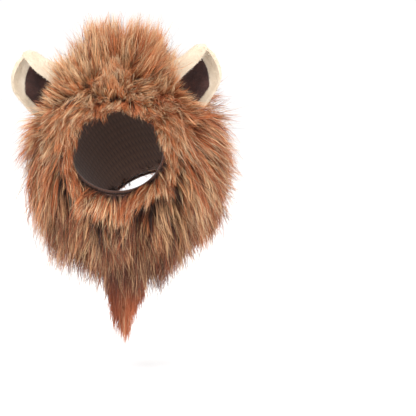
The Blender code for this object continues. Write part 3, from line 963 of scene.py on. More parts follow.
@dataclass
class EarForm:
    """The shape of one ear: a cupped leaf whose inner side folds over its front.

    Girth is the way round its wall, as a share of its width. Spread, middle and socket give the room that
    the fur leaves round it. Its base is looked for up to base_top in base_tries steps, and starts base_lift
    above what is found.
    """

    hood: HoodForm
    side: Side
    turn: float
    lean: float
    width: float = 0.053
    height: float = 0.066
    cup: float = 0.026
    wall: float = 0.0042
    border: float = 0.011
    girth: float = 1.60
    lining: float = 0.0012
    lining_gap: float = 0.0006
    spread: float = 1.10
    middle: float = 0.06
    socket: float = 0.0015
    base_top: float = 0.5
    base_tries: int = 60
    base_lift: float = 0.02
    crown_station: float = 0.34
    clear: Rows = (
        # from height, room before the ear, shift outwards, width
        (0.16, 0.000, 0.00, 1.00),
        (0.30, 0.020, 0.08, 0.86),
        (0.46, 0.060, 0.16, 0.76),
    )
    step: float = 0.01
    sections: Rows = (
        # height, width, shift, depth
        (-0.16, 0.80, 0.00, 1.00),
        (0.12, 0.92, 0.04, 1.00),
        (0.32, 1.00, 0.08, 1.00),
        (0.54, 0.95, 0.07, 0.88),
        (0.72, 0.85, 0.06, 0.72),
        (0.86, 0.74, 0.02, 0.52),
        (0.95, 0.50, -0.05, 0.36),
        (1.00, 0.20, -0.11, 0.20),
    )
    across: Rows = (
        # round, across, forward
        (0.00, 0.50, 0.02),
        (0.16, 0.33, -0.22),
        (0.32, 0.10, -0.46),
        (0.48, -0.16, -0.54),
        (0.64, -0.40, -0.34),
        (0.76, -0.50, 0.04),
        (0.87, -0.42, 0.36),
        (1.00, -0.20, 0.46),
    )
    lining_tops: Rows = (
        # round, height
        (0.12, 0.60),
        (0.30, 0.76),
        (0.50, 0.83),
        (0.75, 0.83),
        (1.00, 0.74),
    )

    def axes(self) -> tuple[np.ndarray, ...]:
        """The middle of the ear's base, and its outward, forward and upward axes."""
        lean, side = math.radians(self.lean), self.side.value
        up = np.array((side * math.sin(lean), 0.0, math.cos(lean)))
        outward = np.array((side * math.cos(lean), 0.0, -math.sin(lean)))
        turn = np.array([side * math.radians(self.turn)])
        base = self.hood.point(np.array([self.crown_station]), turn, self.hood.cloth)[0]
        return base, outward, FORWARD, up

    def point(self, height: np.ndarray, around: np.ndarray, off: np.ndarray | float) -> np.ndarray:
        """Points of the ear, this far from the middle of its wall towards its hollow."""
        base, outward, forward, up = self.axes()
        width, shift, depth = eased(self.sections, height).T

        def middle(at: np.ndarray) -> np.ndarray:
            """The middle of the wall in the plane of the section."""
            across, ahead = eased(self.across, at).T
            return np.stack(((across * width + shift) * self.width, ahead * depth * self.cup), axis=-1)

        low, high = np.maximum(0.0, around - self.step), np.minimum(1.0, around + self.step)
        run = unit(middle(high) - middle(low))
        x, y = middle(around).T
        x, y = x + run[:, 1] * off, y - run[:, 0] * off
        flat = outward * x[:, None] + forward * y[:, None]
        return base + flat + up * (height * self.height)[:, None]

    def base_height(self, around: np.ndarray, off: float) -> np.ndarray:
        """The lowest height at each place round the ear where it is clear of the hood's cloth."""
        start = self.sections[0][0]
        found = np.full(len(around), start)
        for height in np.linspace(start, self.base_top, self.base_tries):
            points = self.point(np.full(len(around), height), around, off)
            found = np.where(self.hood.sunk(points) < 1.0, height, found)
        return found + self.base_lift

    def meets(self, paths: np.ndarray) -> np.ndarray:
        """Which paths run through the ear, or pass before it higher up.

        Args:
            paths: Paths, points and coordinates.

        Returns:
            True for each path that does.
        """
        base, outward, forward, up = self.axes()
        found = np.zeros(len(paths), bool)
        for height, clear, shift, width in self.clear:
            wide = (self.width / 2 * self.spread + self.socket) * width
            deep = self.cup / 2 * self.spread + self.wall / 2 + self.socket + clear / 2
            way = paths - (base + outward * self.width * (self.middle + shift) + forward * clear / 2)
            inside = ((way @ outward) / wide) ** 2 + ((way @ forward) / deep) ** 2 < 1.0
            found |= np.any(inside & (way @ up > height * self.height), axis=1)
        return found


@dataclass
class Ear:
    """One plush ear with the dark lining in its hollow.

    Lumps are the plush's slight unevenness, and lump_size is its width. Rims are bevels, as shares of the
    wall and of the lining. Lining_end is where the lining stops on its way round. Nap_clear is how far the
    nap keeps from the lining, as a share of the wall.
    """

    form: EarForm
    columns: int = 30
    rows: int = 24
    lumps: float = 0.0007
    lump_size: float = 0.022
    rim: float = 0.42
    lining_rim: float = 0.4
    rim_segments: int = 3
    rim_angle: float = 50.0
    lining_end: float = 0.985
    nap_length: float = 0.0020
    nap_lengths: Span = (0.5, 1.2)
    nap_width: float = 0.00034
    nap_root: float = 0.0003
    nap_clear: float = 0.7
    nap_mess: float = 0.35
    nap_rise: float = 0.5
    nap_droop: float = 0.3
    nap_steps: int = 3
    nap_strands: int = 9000
    lining_strands: int = 5000

    @property
    def name(self) -> str:
        """What the names of its pieces start with."""
        return f"{self.form.side.word}_ear"

    def grid(self, name: str, columns: int, rows: int) -> tuple[bpy.types.Object, np.ndarray, np.ndarray]:
        """A flat grid primitive that is to be shaped, with its vertices' places across and up from 0 to 1."""
        deselect()
        bpy.ops.mesh.primitive_grid_add(x_subdivisions=columns, y_subdivisions=rows, size=1.0)
        obj = added(name)
        points = read_points(obj)
        return obj, np.clip(points[:, 0] + 0.5, 0, 1), np.clip(points[:, 1] + 0.5, 0, 1)

    def thicken(self, obj: bpy.types.Object, thickness: float, rounding: float) -> None:
        """Gives a shaped grid its thickness, both ways from its middle, and rounds its rims.

        Args:
            obj: The grid.
            thickness: The wall's thickness.
            rounding: The width of the bevel at its rims.
        """
        solid = obj.modifiers.new("Thickness", "SOLIDIFY")
        solid.thickness, solid.offset = thickness, 0.0
        bevel = obj.modifiers.new("Rims", "BEVEL")
        bevel.width, bevel.segments = rounding, self.rim_segments
        bevel.limit_method, bevel.angle_limit = "ANGLE", math.radians(self.rim_angle)
        activate(obj)
        for modifier in (solid.name, bevel.name):
            bpy.ops.object.modifier_apply(modifier=modifier)
        smooth_piece(obj, levels=1)

    def shell(self) -> bpy.types.Object:
        """The pale plush ear, two layers of plush sewn together and turned."""
        obj, around, up = self.grid(f"{self.name}_plush", self.columns, self.rows)
        low = self.form.base_height(around, 0.0)
        height = low + (1.0 - low) * up
        rng = np.random.default_rng(SEED + self.form.side.value)
        points = self.form.point(height, around, 0.0)
        soft = waves(points, self.lump_size, int(rng.integers(1000))) * self.lumps
        foot = np.minimum(1.0, up * 4)  # no lumps at the foot, and all of them from a quarter of the height
        place_points(obj, points + soft * foot[:, None])
        self.thicken(obj, self.form.wall, self.form.wall * self.rim)
        return obj

    def lining(self) -> bpy.types.Object:
        """The dark lining in the hollow, inside the pale border."""
        obj, across, up = self.grid(f"{self.name}_lining_plush", self.columns, self.rows)
        start = self.form.border / (self.form.girth * self.form.width)
        around = start + (self.lining_end - start) * across
        off = self.form.wall / 2 + self.form.lining_gap + self.form.lining / 2
        low = self.form.base_height(around, off)
        height = low + (eased(self.form.lining_tops, around)[:, 0] - low) * up
        place_points(obj, self.form.point(height, around, off))
        self.thicken(obj, self.form.lining, self.form.lining * self.lining_rim)
        return obj

    def nap(
        self, name: str, on: bpy.types.Object, count: int, clear_of: bpy.types.Object | None
    ) -> bpy.types.Object:
        """The fine fibres that stand on a piece of plush.

        Args:
            name: The name of the new piece.
            on: The piece that they stand on.
            count: How many there are.
            clear_of: A piece that none of them may run into.

        Returns:
            One object with all the fibres.
        """
        rng = np.random.default_rng(SEED + count + self.form.side.value)
        points, normals = scatter(on, count, rng)
        if clear_of is not None:
            others = read_points(clear_of)
            near = np.array([np.min(np.sum((others - p) ** 2, axis=1)) for p in points])
            clear = near > (self.form.wall * self.nap_clear) ** 2
            points, normals = points[clear], normals[clear]
        _, _, _, up = self.form.axes()
        lean = unit(normals + rng.normal(0.0, self.nap_mess, normals.shape) + up * self.nap_rise)
        length = self.nap_length * rng.uniform(*self.nap_lengths, len(points))
        droop = np.full(len(points), self.nap_droop)
        paths = grow(points - normals * self.nap_root, lean, length, droop, self.nap_steps)
        facing = unit(np.cross(lean, rng.normal(size=lean.shape)))
        widths = np.full(len(points), self.nap_width)
        return Strands(paths, facing, rng.uniform(*MAP_SPAN, len(points)), widths).mesh(name, rng)

    def build(self) -> None:
        """Builds and dresses the ear."""
        shell, lining = self.shell(), self.lining()
        node = f"{self.name}_shell"
        finish_piece(shell, node, shared(EAR_PLUSH))
        nap = self.nap(f"{self.name}_nap", shell, self.nap_strands, lining)
        finish_piece(nap, node, shared(EAR_NAP))
        node = f"{self.name}_lining"
        finish_piece(lining, node, shared(EAR_LINING))
        nap = self.nap(f"{self.name}_lining_nap", lining, self.lining_strands, None)
        finish_piece(nap, node, shared(LINING_NAP))


@cache
def shared(finish: FurFinish | NapFinish | KnitFinish) -> bpy.types.Material:
    """The material of a finish, which is built once."""
    return finish.material()


def scatter(obj: bpy.types.Object, count: int, rng: np.random.Generator) -> tuple[np.ndarray, np.ndarray]:
    """Random points of a mesh, evenly over its area.

    Args:
        obj: The piece.
        count: How many points.
        rng: The source of chance.

    Returns:
        The points and the surface's normals there.
    """
    mesh = obj.data
    mesh.calc_loop_triangles()
    corners = np.zeros(len(mesh.loop_triangles) * 3, np.int32)
    mesh.loop_triangles.foreach_get("vertices", corners)
    triangles = read_points(obj)[corners.reshape(-1, 3)]
    normals = np.cross(triangles[:, 1] - triangles[:, 0], triangles[:, 2] - triangles[:, 0])
    areas = np.linalg.norm(normals, axis=1)
    chosen = rng.choice(len(areas), count, p=areas / areas.sum())
    first, second = rng.uniform(size=(2, count, 1))
    over = first + second > 1.0
    first, second = np.where(over, 1.0 - first, first), np.where(over, 1.0 - second, second)
    a, b, c = (triangles[chosen, k] for k in range(3))
    return a + (b - a) * first + (c - a) * second, unit(normals[chosen])


@dataclass(frozen=True)
class Patch:
    """A patch of the mane's fur: where it grows, its colours, and how it differs from the rest.

    The shade is that of most strands, frost the share of locks with pale strands, and deep the share of
    short dark strands. Fall is how strongly the fur lies down from its root, forward how far it comes over
    the edge of the hood, mess how far its locks turn aside, and clump how far they draw together.
    """

    name: str
    stations: Span
    turns: Span
    shade: float
    frost: float
    deep: float
    mess: float
    fall: float = 0.0
    forward: float = 0.0
    length: float = 1.0
    spacing: float = 1.0
    clump: float = 0.60


@dataclass
class Mane:
    """The fur of the mane: a dense undercoat, and long strands in locks over it.

    Locks start at root_height and are spaced at row_height, both shares of the pile's height. Row_room and
    row_mess are how unevenly they stand in their rows. Their headings change over mess_size, with
    mess_chance of the mess by pure chance, and their colours over a zone. Sweep is how far they bend aside,
    as a share of their length, over sweep_bend half turns. Shades spread from lock to lock, wisp to wisp
    and strand to strand. Pale guard hairs are guard_frost times as common as frosted locks. The undercoat
    keeps a margin from the hood's ends and slopes down to its least height there.
    """

    form: HoodForm
    ears: tuple[EarForm, ...]
    low: np.ndarray
    high: np.ndarray
    lock_length: float = 0.062
    lock_spacing: float = 0.0085
    shoulder: float = 0.55
    steps: int = 5
    strand_width: float = 0.00060
    wisps: int = 9
    strands: int = 6
    guard_hairs: int = 16
    stray_hairs: int = 2
    fine_share: float = 0.68
    frosted_share: float = 0.72
    plain_share: float = 0.10
    deep_length: float = 0.9
    zone: float = 0.05
    zone_share: float = 0.35
    sweep: float = 0.10
    sweep_size: float = 0.6
    sweep_bend: float = 1.2
    mess_size: float = 0.045
    mess_chance: float = 0.25
    root_height: float = 0.4
    row_samples: int = 20
    row_height: float = 0.7
    row_room: Span = (0.2, 0.8)
    row_mess: Span = (-0.5, 0.5)
    lengths: Span = (0.85, 1.12)
    lock_spread: float = 0.07
    wisp_spread: float = 0.06
    strand_spread: float = 0.05
    pale_shades: Span = (0.70, 0.98)
    deep_shades: Span = (0.02, 0.2)
    guard_shades: Span = (0.75, 0.99)
    guard_frost: float = 1.2
    stray_shades: Span = (0.0, 0.25)
    undercoat_share: float = 0.55
    undercoat_slope: float = 18.0
    undercoat_least: float = 0.0006
    lumps: float = 0.0012
    lump_size: float = 0.012
    margin: float = 0.004
    around: int = 128
    across: int = 64
    locks_around: Rows = (
        # turn, length, lift, droop, sway
        (0.00, 0.90, 0.92, -0.05, 0.12),
        (0.12, 0.78, 0.90, -0.08, 0.12),
        (0.22, 0.80, 0.84, -0.12, 0.12),
        (0.42, 0.90, 0.50, 1.30, 0.05),
        (0.62, 1.12, 0.52, 1.90, 0.00),
        (0.82, 1.32, 0.64, 2.10, -0.14),
        (1.00, 1.34, 0.50, 2.10, -0.14),
    )
    lock_rows: Rows = (
        # station, length, lift
        (0.00, 0.50, 1.00),
        (0.13, 0.86, 1.00),
        (0.22, 1.00, 1.00),
        (0.43, 1.00, 0.90),
        (0.65, 0.88, 0.72),
        (0.87, 0.74, 0.60),
        (1.00, 0.60, 0.55),
    )
    # Shades fall and deep shares rise from the crown and brow down to the jaw, throat, neck and collar: partly the
    # fur's own colours, partly painted light on top and painted shade underneath.
    patches: tuple[Patch, ...] = (
        # name, stations, turns, shade, frost, deep, mess, fall, forward, length, spacing, clump
        Patch("fringe_fur", (0.0, 0.03), (-60, 60), 0.48, 0.35, 0.04, 0.60, 0.45, 0.75, 0.80, 0.56, 0.50),
        Patch("left_rim_fur", (0.0, 0.03), (60, 180), 0.42, 0.34, 0.12, 0.60, 0.40, 1.00, 0.70, 0.56, 0.45),
        Patch("right_rim_fur", (0.0, 0.03), (-180, -60), 0.42, 0.30, 0.12, 0.60, 0.40, 1.00, 0.70, 0.56, 0.45),
        Patch("brow_fur", (0.03, 0.14), (-30, 30), 0.60, 0.40, 0.00, 0.80, 0.10, 0.40, 0.62, 0.62, 0.45),
        Patch("crest_fur", (0.12, 0.22), (-40, 40), 0.60, 0.42, 0.00, 0.95, 0.00, 0.15, 0.58, 0.66, 0.50),
        Patch("left_brow_fur", (0.03, 0.18), (30, 64), 0.48, 0.42, 0.05, 0.40, 1.00, 0.2, 0.95, 0.66, 0.55),
        Patch("right_brow_fur", (0.03, 0.18), (-64, -30), 0.54, 0.44, 0.03, 0.40, 1.10, 0.2, 0.95, 0.66, 0.55),
        Patch("left_ear_foot_fur", (0.10, 0.26), (46, 78), 0.50, 0.44, 0.06, 0.50, -0.20, 0.6, 0.62, 0.72, 0.55),
        Patch("right_ear_foot_fur", (0.10, 0.26), (-80, -48), 0.50, 0.44, 0.06, 0.50, -0.20, 0.6, 0.62, 0.72, 0.55),
        Patch("crown_fur", (0.18, 0.44), (-22, 26), 0.54, 0.50, 0.04, 0.34, 0.00, 0.0, 1.08, 0.80, 0.55),
        Patch("left_crown_fur", (0.16, 0.44), (26, 60), 0.64, 0.58, 0.02, 0.34, 0.00, 0.0, 0.78, 0.80, 0.55),
        Patch("right_crown_fur", (0.16, 0.44), (-60, -22), 0.66, 0.64, 0.02, 0.34, 0.20, 0.0, 0.74, 0.80, 0.55),
        Patch("left_cheek_fur", (0.04, 0.44), (60, 118), 0.36, 0.36, 0.20, 0.48, 0.70, 0.0, 1.14, 0.84, 0.66),
        Patch("right_cheek_fur", (0.04, 0.44), (-118, -60), 0.44, 0.40, 0.12, 0.48, 0.70, 0.0, 1.16, 0.82, 0.64),
        Patch("left_jaw_fur", (0.04, 0.44), (118, 145), 0.32, 0.34, 0.38, 0.48, 0.60, 0.0, 1.00, 0.84, 0.74),
        Patch("right_jaw_fur", (0.04, 0.44), (-145, -118), 0.38, 0.24, 0.34, 0.48, 0.60, 0.0, 1.04, 0.84, 0.74),
        Patch("throat_fur", (0.04, 0.40), (145, 215), 0.30, 0.34, 0.52, 0.50, 0.30, 0.0, 0.86, 0.92, 0.90),
        Patch("nape_fur", (0.44, 0.70), (-70, 70), 0.46, 0.45, 0.12, 0.30, 0.10, 0.0, 1.0, 1.30),
        Patch("withers_fur", (0.70, 0.97), (-70, 70), 0.42, 0.40, 0.16, 0.30, 0.10, 0.0, 1.0, 1.38),
        Patch("neck_rim_fur", (0.955, 0.99), (-180, 180), 0.34, 0.20, 0.30, 0.50, 0.20, -0.7, 0.62, 1.25, 0.60),
        Patch("left_neck_fur", (0.44, 0.97), (70, 150), 0.34, 0.24, 0.34, 0.34, 0.50, 0.0, 0.78, 1.0, 0.70),
        Patch("right_neck_fur", (0.44, 0.97), (-150, -70), 0.38, 0.28, 0.24, 0.34, 0.20, 0.0, 1.02, 1.12, 0.66),
        Patch("collar_fur", (0.40, 0.97), (145, 215), 0.20, 0.06, 0.62, 0.34, 0.20, 0.0, 1.02, 1.0, 0.75),
    )
    # the patches that take the darker low palette, which partly paints the shade under the mane
    low_patches: tuple[str, ...] = (
        "left_jaw_fur",
        "right_jaw_fur",
        "throat_fur",
        "left_neck_fur",
        "right_neck_fur",
        "collar_fur",
    )

    def undercoat(self) -> bpy.types.Object:
        """The dense coat next to the cloth, a closed ring round the hood."""
        obj, turn, section = new_ring("mane_undercoat", self.around, self.across)
        share = section / (2 * math.pi)
        station = 1.0 - np.abs(2.0 * share - 1.0)
        station = self.margin + (1.0 - 2 * self.margin) * station
        outer = share < 0.5
        ends = np.minimum(1.0, np.minimum(station, 1.0 - station) * self.undercoat_slope)
        tall = np.maximum(self.form.pile_height(station) * self.undercoat_share * ends, self.undercoat_least)
        out = self.form.cloth + self.form.gap + np.where(outer, tall, 0.0)
        points = self.form.point(station, turn, out)
        lumps = waves(points, self.lump_size, SEED) * self.lumps
        place_points(obj, points + np.where(outer, ends, 0.0)[:, None] * lumps)
        smooth_piece(obj)
        return obj

    def roots(self, patch: Patch, rng: np.random.Generator) -> tuple[np.ndarray, np.ndarray]:
        """The stations and turns that the locks of a patch start at, in uneven rows."""
        (first, last), (left, right) = patch.stations, patch.turns
        samples = np.linspace(first, last, self.row_samples)
        middle = np.full(self.row_samples, math.radians((left + right) / 2))
        run = self.form.point(samples, middle, self.form.pile)
        length = np.sum(np.linalg.norm(np.diff(run, axis=0), axis=1))
        spacing = self.lock_spacing * patch.spacing
        count = max(2, round(length / spacing))
        stations, turns = [], []
        for station in first + (last - first) * (np.arange(count) + 0.5) / count:
            _, _, _, _, width, height = self.form.axes(np.array([station]))
            girth = math.pi * (width[0] + height[0] + 2 * self.form.pile * self.row_height)
            across = max(2, round(girth * (right - left) / 360 / spacing))
            places = (np.arange(across) + rng.uniform(*self.row_room, across)) / across
            turns.append(np.radians(left + (right - left) * places))
            stations.append(station + (last - first) / count * rng.uniform(*self.row_mess, across))
        return np.clip(np.concatenate(stations), self.margin, 1.0 - self.margin), np.concatenate(turns)

    def locks(self, patch: Patch, rng: np.random.Generator) -> Strands:
        """The middle lines of the locks of a patch."""
        station, turn = self.roots(patch, rng)
        length, lift, droop, sway = eased(self.locks_around, np.abs((turn / math.pi + 1) % 2 - 1)).T
        row_length, row_lift = eased(self.lock_rows, station).T
        out, along = self.form.slopes(station, turn)
        over = self.form.pile_height(station) * self.root_height
        root = self.form.point(station, turn, self.form.cloth + over)
        shoulder = self.shoulder * np.maximum(0.0, np.sin(turn))
        lift = (lift * row_lift * (1.0 + shoulder))[:, None]
        droop = droop * (1.0 - shoulder)
        heading = out * lift + along * (1.0 - lift) + SIDEWAYS * sway[:, None]
        heading += DOWN * patch.fall - along * patch.forward
        turned = waves(root, self.mess_size, SEED + 1) * patch.mess
        heading += turned + rng.normal(0.0, patch.mess * self.mess_chance, root.shape)
        length = length * row_length * self.lock_length * patch.length * rng.uniform(*self.lengths, len(root))
        paths = grow(root, heading, length, droop, self.steps)
        sweep = waves(root, self.zone * self.sweep_size, SEED + 2) * (length * self.sweep)[:, None]
        paths += sweep[:, None, :] * np.sin(np.linspace(0.0, math.pi * self.sweep_bend, self.steps))[:, None]
        return Strands(paths, out, np.full(len(root), patch.shade), np.full(len(root), self.strand_width))

    def wisps_of(self, patch: Patch, locks: Strands, rng: np.random.Generator) -> Strands:
        """Divides the locks of a patch into wisps, each with its shade, the dark ones shorter.

        Args:
            patch: The patch.
            locks: The middle lines of its locks.
            rng: The source of chance.

        Returns:
            The wisps.
        """
        radius = self.lock_spacing * patch.spacing
        made = locks.split(self.wisps, radius, patch.clump, wobble=0.14, lengths=(0.70, 1.05), rng=rng)
        count = len(made.shades)
        zone = waves(locks.paths[:, 0], self.zone, SEED + 3)[:, 0] * self.zone_share
        frosted = np.repeat(rng.uniform(size=len(locks.shades)) < patch.frost + zone, self.wisps)
        chance = rng.uniform(size=count)
        pale = chance < np.where(frosted, self.frosted_share, self.plain_share)
        # Deep wisps are short dark strands: a dark under-fur, partly painted shade between and under the locks.
        deep = chance > 1.0 - patch.deep
        shade = patch.shade + np.repeat(rng.normal(0.0, self.lock_spread, len(locks.shades)), self.wisps)
        shade = shade + rng.normal(0.0, self.wisp_spread, count)
        light, dark = rng.uniform(*self.pale_shades, count), rng.uniform(*self.deep_shades, count)
        shade = np.where(pale, light, np.where(deep, dark, shade))
        return made.cut(np.where(deep, self.deep_length, 1.0)).shaded(shade)

    def patch_fur(self, patch: Patch) -> bpy.types.Object:
        """All the strands of a patch as one piece: wisps, single guard hairs over them and a few stray ones."""
        rng = np.random.default_rng([SEED, *patch.name.encode()])
        locks = self.locks(patch, rng)
        radius = self.lock_spacing * patch.spacing
        wisps = self.wisps_of(patch, locks, rng)
        fur = wisps.split(self.strands, radius=0.0014, clump=0.60, wobble=0.06, lengths=(0.8, 1.06), rng=rng)
        fur = fur.shaded(fur.shades + rng.normal(0.0, self.strand_spread, len(fur.shades)))
        guard = locks.split(self.guard_hairs, radius, clump=0.25, wobble=0.22, lengths=(0.80, 1.16), rng=rng)
        pale = rng.uniform(size=len(guard.shades)) < patch.frost * self.guard_frost
        guard = guard.shaded(np.where(pale, rng.uniform(*self.guard_shades, len(pale)), guard.shades))
        stray = locks.split(self.stray_hairs, radius, clump=0.0, wobble=0.34, lengths=(0.9, 1.20), rng=rng)
        stray = stray.shaded(rng.uniform(*self.stray_shades, len(stray.shades)))
        for fine in (guard, stray):
            fine.widths = fine.widths * self.fine_share
        strands = fur.beside(guard).beside(stray)
        if not patch.forward:
            strands = strands.held(self.form.enters)
        for ear in self.ears:
            strands = strands.held(ear.meets)
        return strands.within(self.low, self.high).mesh(patch.name, rng)

    def build(self) -> None:
        """Builds and dresses the mane."""
        finish_piece(self.undercoat(), "mane_fur", shared(UNDERCOAT))
        for patch in self.patches:
            # the lower patches take the darker palette, partly painted shade
            finish = SHADED_LOW_FUR if patch.name in self.low_patches else MANE_FUR
            finish_piece(self.patch_fur(patch), "mane_fur", shared(finish))


@dataclass
class Bib:
    """The pointed bib of long fur under the throat.

    Edge is how thick its sides are beside its middle, and taper how much shorter the locks are there.
    Fullness and flatness shape the pad out of a ball. Front_share of the locks grow in front, the rest
    behind, between the lock_rows. Flare, spread and mess turn them forwards, sideways and at random.
    Length_down is their length at the top and what it gains down to the pad's end.
    """

    form: HoodForm
    low: np.ndarray
    high: np.ndarray
    hem: float = 0.0032
    width: float = 0.070
    length: float = 0.050
    thickness: float = 0.009
    lock_length: float = 0.067
    turn: float = 199.0
    gap: float = 0.0006
    edge: float = 0.32
    taper: float = 0.25
    pad_segments: int = 36
    pad_rings: int = 26
    fullness: float = 1.4
    flatness: float = 0.9
    lumps: float = 0.0008
    lump_size: float = 0.010
    locks: int = 150
    lock_rows: Span = (0.04, 1.0)
    front_share: float = 0.7
    root_width: float = 0.92
    flare: float = 0.10
    spread: float = 0.04
    mess: float = 0.11
    lengths: Span = (0.7, 1.1)
    length_down: Span = (0.8, 0.25)
    droop: float = 1.0
    shade_power: float = 1.4
    shade_spread: float = 0.12
    strands_each: int = 48
    strand_width: float = 0.0006
    steps: int = 5
    sections: Rows = (
        # down, width, shift, back, thickness
        (0.00, 0.92, -0.08, 0.00, 0.60),
        (0.28, 1.00, -0.08, -0.02, 1.00),
        (0.64, 0.72, -0.04, -0.02, 0.95),
        (1.00, 0.30, 0.00, 0.02, 0.60),
    )

    def top(self, place: np.ndarray) -> np.ndarray:
        """Points of the line under the neck's hem that the bib hangs from, place to +X of its middle."""
        _, _, _, _, width, height = self.form.axes(np.array([1.0]))
        turn = math.radians(self.turn) - place / ((width[0] + height[0]) / 2)
        at = np.ones(len(place))

        def middle(where: np.ndarray) -> np.ndarray:
            """The middle of the hem."""
            along = self.form.slopes(at, where)[1]
            return self.form.point(at, where, self.form.cloth / 2) + along * (self.hem / 2 + self.form.gap)

        step = self.form.step
        run = unit(middle(turn + step) - middle(turn - step))
        below = unit(DOWN - run * (run @ DOWN)[:, None])
        return middle(turn) + below * (self.hem / 2 + self.gap)

    def point(self, down: np.ndarray, across: np.ndarray, ahead: np.ndarray) -> np.ndarray:
        """Points of the bib: across over its width and ahead through its thickness, both from -1 to 1."""
        width, shift, back, thickness = eased(self.sections, down).T
        place = (across * width / 2 + shift) * self.width
        deep = ahead * thickness * self.thickness / 2 * np.sqrt(1.0 + self.edge**2 - across**2)
        return (
            self.top(place)
            + DOWN * (down * self.length)[:, None]
            + FORWARD * (deep - back * self.width)[:, None]
        )

    def pad(self) -> bpy.types.Object:
        """The tongue of dense pile that the long fur grows from, a flattened ball."""
        deselect()
        bpy.ops.mesh.primitive_uv_sphere_add(
            segments=self.pad_segments, ring_count=self.pad_rings, radius=1.0
        )
        obj = added("bib_pad")
        x, y, z = read_points(obj).T
        down = np.clip((1.0 - z) / 2, 0.0, 1.0)
        ring = np.maximum(np.hypot(x, y), 1e-6)
        full = np.minimum(1.0, ring * self.fullness)
        points = self.point(down, x / ring * full, y / ring * -full * self.flatness)
        lumps = waves(points, self.lump_size, SEED + 5) * self.lumps
        top = np.minimum(1.0, down * 5)  # no lumps at the top, and all of them from a fifth of the way down
        place_points(obj, points + lumps * top[:, None])
        smooth_piece(obj)
        return obj

    def fur(self) -> bpy.types.Object:
        """The long strands, which hang to a point."""
        rng = np.random.default_rng(SEED + 9)
        down = rng.uniform(*self.lock_rows, self.locks)
        across = rng.uniform(-1.0, 1.0, self.locks)
        ahead = np.where(rng.uniform(size=self.locks) < self.front_share, self.flatness, -self.flatness)
        root = self.point(down, across * self.root_width, ahead)
        heading = DOWN + FORWARD * (self.flare * ahead)[:, None] + SIDEWAYS * (-self.spread * across)[:, None]
        heading = heading + rng.normal(0.0, self.mess, root.shape)
        first, more = self.length_down
        length = self.lock_length * (first + more * down) * (1.0 - self.taper * np.abs(across))
        length = length * rng.uniform(*self.lengths, self.locks)
        shade = rng.uniform(0.0, 1.0, self.locks) ** self.shade_power
        facing = unit(FORWARD * np.sign(ahead)[:, None] + SIDEWAYS * (across / 2)[:, None])
        paths = grow(root, heading, length, np.full(self.locks, self.droop), self.steps)
        locks = Strands(paths, facing, shade, np.full(self.locks, self.strand_width))
        strands = locks.split(
            self.strands_each, radius=0.0042, clump=0.85, wobble=0.10, lengths=(0.6, 1.10), rng=rng
        )
        shades = strands.shades + rng.normal(0.0, self.shade_spread, len(strands.shades))
        return strands.shaded(shades).within(self.low, self.high).mesh("bib_fur", rng)

    def build(self) -> None:
        """Builds and dresses the bib."""
        pad = self.pad()
        finish_piece(pad, "chest_bib", shared(UNDERCOAT))
        finish_piece(self.fur(), "chest_bib", shared(BIB_FUR))


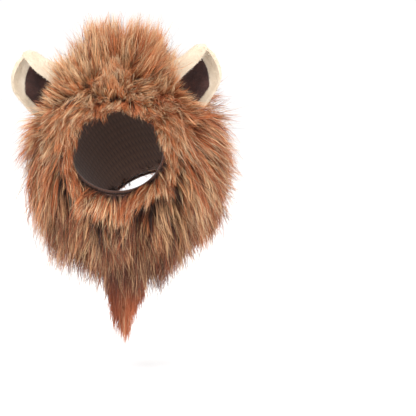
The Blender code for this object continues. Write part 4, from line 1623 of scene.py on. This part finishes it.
@dataclass
class Studio:
    """A wide pale floor, an even white surrounding, soft lights and the camera.

    Face is the middle of the face opening and face_pixel its place in the photograph, picture the
    photograph's width in pixels, and pixel the length of one at the face.
    """

    face: tuple[float, float, float] = (0.0, -0.040, -0.070)
    face_pixel: tuple[float, float] = (117.0, 150.0)
    picture: float = 416.0
    pixel: float = 0.001
    elevation: float = 7.0
    distance: float = 1.5
    sensor: float = 36.0
    floor_height: float = -0.317
    floor_reach: float = 6.0
    floor_depth: float = 0.02
    floor_edge: float = 0.006
    floor_tones: Stops = ((0.0, (252, 252, 252)), (1.0, (255, 255, 255)))
    surround: float = 1.03
    lights: tuple[tuple[str, tuple[float, float, float], float, float], ...] = (
        # name, place, size, power
        ("key_light", (-0.7, -1.3, 1.5), 0.8, 25.0),
        ("fill_light", (1.2, -1.3, 0.4), 1.2, 10.0),
        ("top_light", (0.1, 0.1, 1.5), 1.0, 14.0),
    )

    def floor(self) -> bpy.types.Object:
        """The floor, a disc with a rounded edge."""
        deselect()
        middle = self.floor_height - self.floor_depth / 2
        bpy.ops.mesh.primitive_cylinder_add(
            vertices=96, radius=self.floor_reach, depth=self.floor_depth, location=(0, 0, middle)
        )
        obj = bpy.context.active_object
        obj.name = "floor"
        bevel = obj.modifiers.new("Edge", "BEVEL")
        bevel.width, bevel.segments = self.floor_edge, 3
        bpy.ops.object.modifier_apply(modifier=bevel.name)
        material, nodes, shader = new_material("studio_floor")
        place = nodes.add("TexCoord")
        grain = nodes.add("TexNoise", Vector=place.outputs["Object"], Scale=3.0)
        nodes.feed(shader, "Base_Color", nodes.ramp(grain.outputs["Fac"], self.floor_tones))
        nodes.feed(shader, "Roughness", 0.9)
        nodes.feed(shader, "Specular_IOR_Level", 0.1)
        obj.data.materials.append(material)
        obj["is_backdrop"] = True
        return obj

    def camera(self) -> bpy.types.Object:
        """The camera at the photograph's viewing angle, framed by the face opening's place in it."""
        up_angle = math.radians(self.elevation)
        back = Vector((0.0, -math.cos(up_angle), math.sin(up_angle)))
        up = Vector((0.0, math.sin(up_angle), math.cos(up_angle)))
        half = self.picture / 2
        sideways = (half - self.face_pixel[0]) * self.pixel
        upward = (self.face_pixel[1] - half) * self.pixel
        aim = Vector(self.face) + Vector((sideways, 0.0, 0.0)) + up * upward
        data = bpy.data.cameras.new("camera")
        data.sensor_width = self.sensor
        data.lens = self.sensor * self.distance / (self.picture * self.pixel)
        obj = bpy.data.objects.new("camera", data)
        bpy.context.scene.collection.objects.link(obj)
        obj.location = aim + back * self.distance
        obj.rotation_euler = (-back).to_track_quat("-Z", "Y").to_euler()
        bpy.context.scene.camera = obj
        return obj

    def light(self) -> None:
        """Soft area lights round the part, and an even white surrounding."""
        for name, place, size, power in self.lights:
            data = bpy.data.lights.new(name, "AREA")
            data.size, data.energy = size, power
            obj = bpy.data.objects.new(name, data)
            obj.location = place
            way = Vector(self.face) - Vector(place)
            obj.rotation_euler = way.to_track_quat("-Z", "Y").to_euler()
            bpy.context.scene.collection.objects.link(obj)
        world = bpy.data.worlds.new("studio")
        world.use_nodes = True
        background = world.node_tree.nodes["Background"]
        background.inputs["Color"].default_value = (1.0, 1.0, 1.0, 1.0)
        background.inputs["Strength"].default_value = self.surround
        bpy.context.scene.world = world
        bpy.context.scene.view_settings.view_transform = "Standard"

    def build(self) -> None:
        """Sets up the studio."""
        self.camera()
        self.floor()
        self.light()


def main() -> None:
    """Builds the studio and the sub-assemblies in order."""
    logging.basicConfig(level=logging.INFO, format="%(name)s: %(message)s")
    cad = [list(corner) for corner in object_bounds()]
    low, high = np.array(cad[0]) - ROOM, np.array(cad[1]) + ROOM
    Studio().build()
    form = HoodForm()
    ears = EarForm(form, Side.LEFT, turn=52.0, lean=45.0), EarForm(form, Side.RIGHT, turn=56.0, lean=50.0)
    Hood(form).build()
    for ear in ears:
        Ear(ear).build()
    Mane(form, ears, low, high).build()
    Bib(form, low, high).build()


if __name__ == "__main__":
    main()
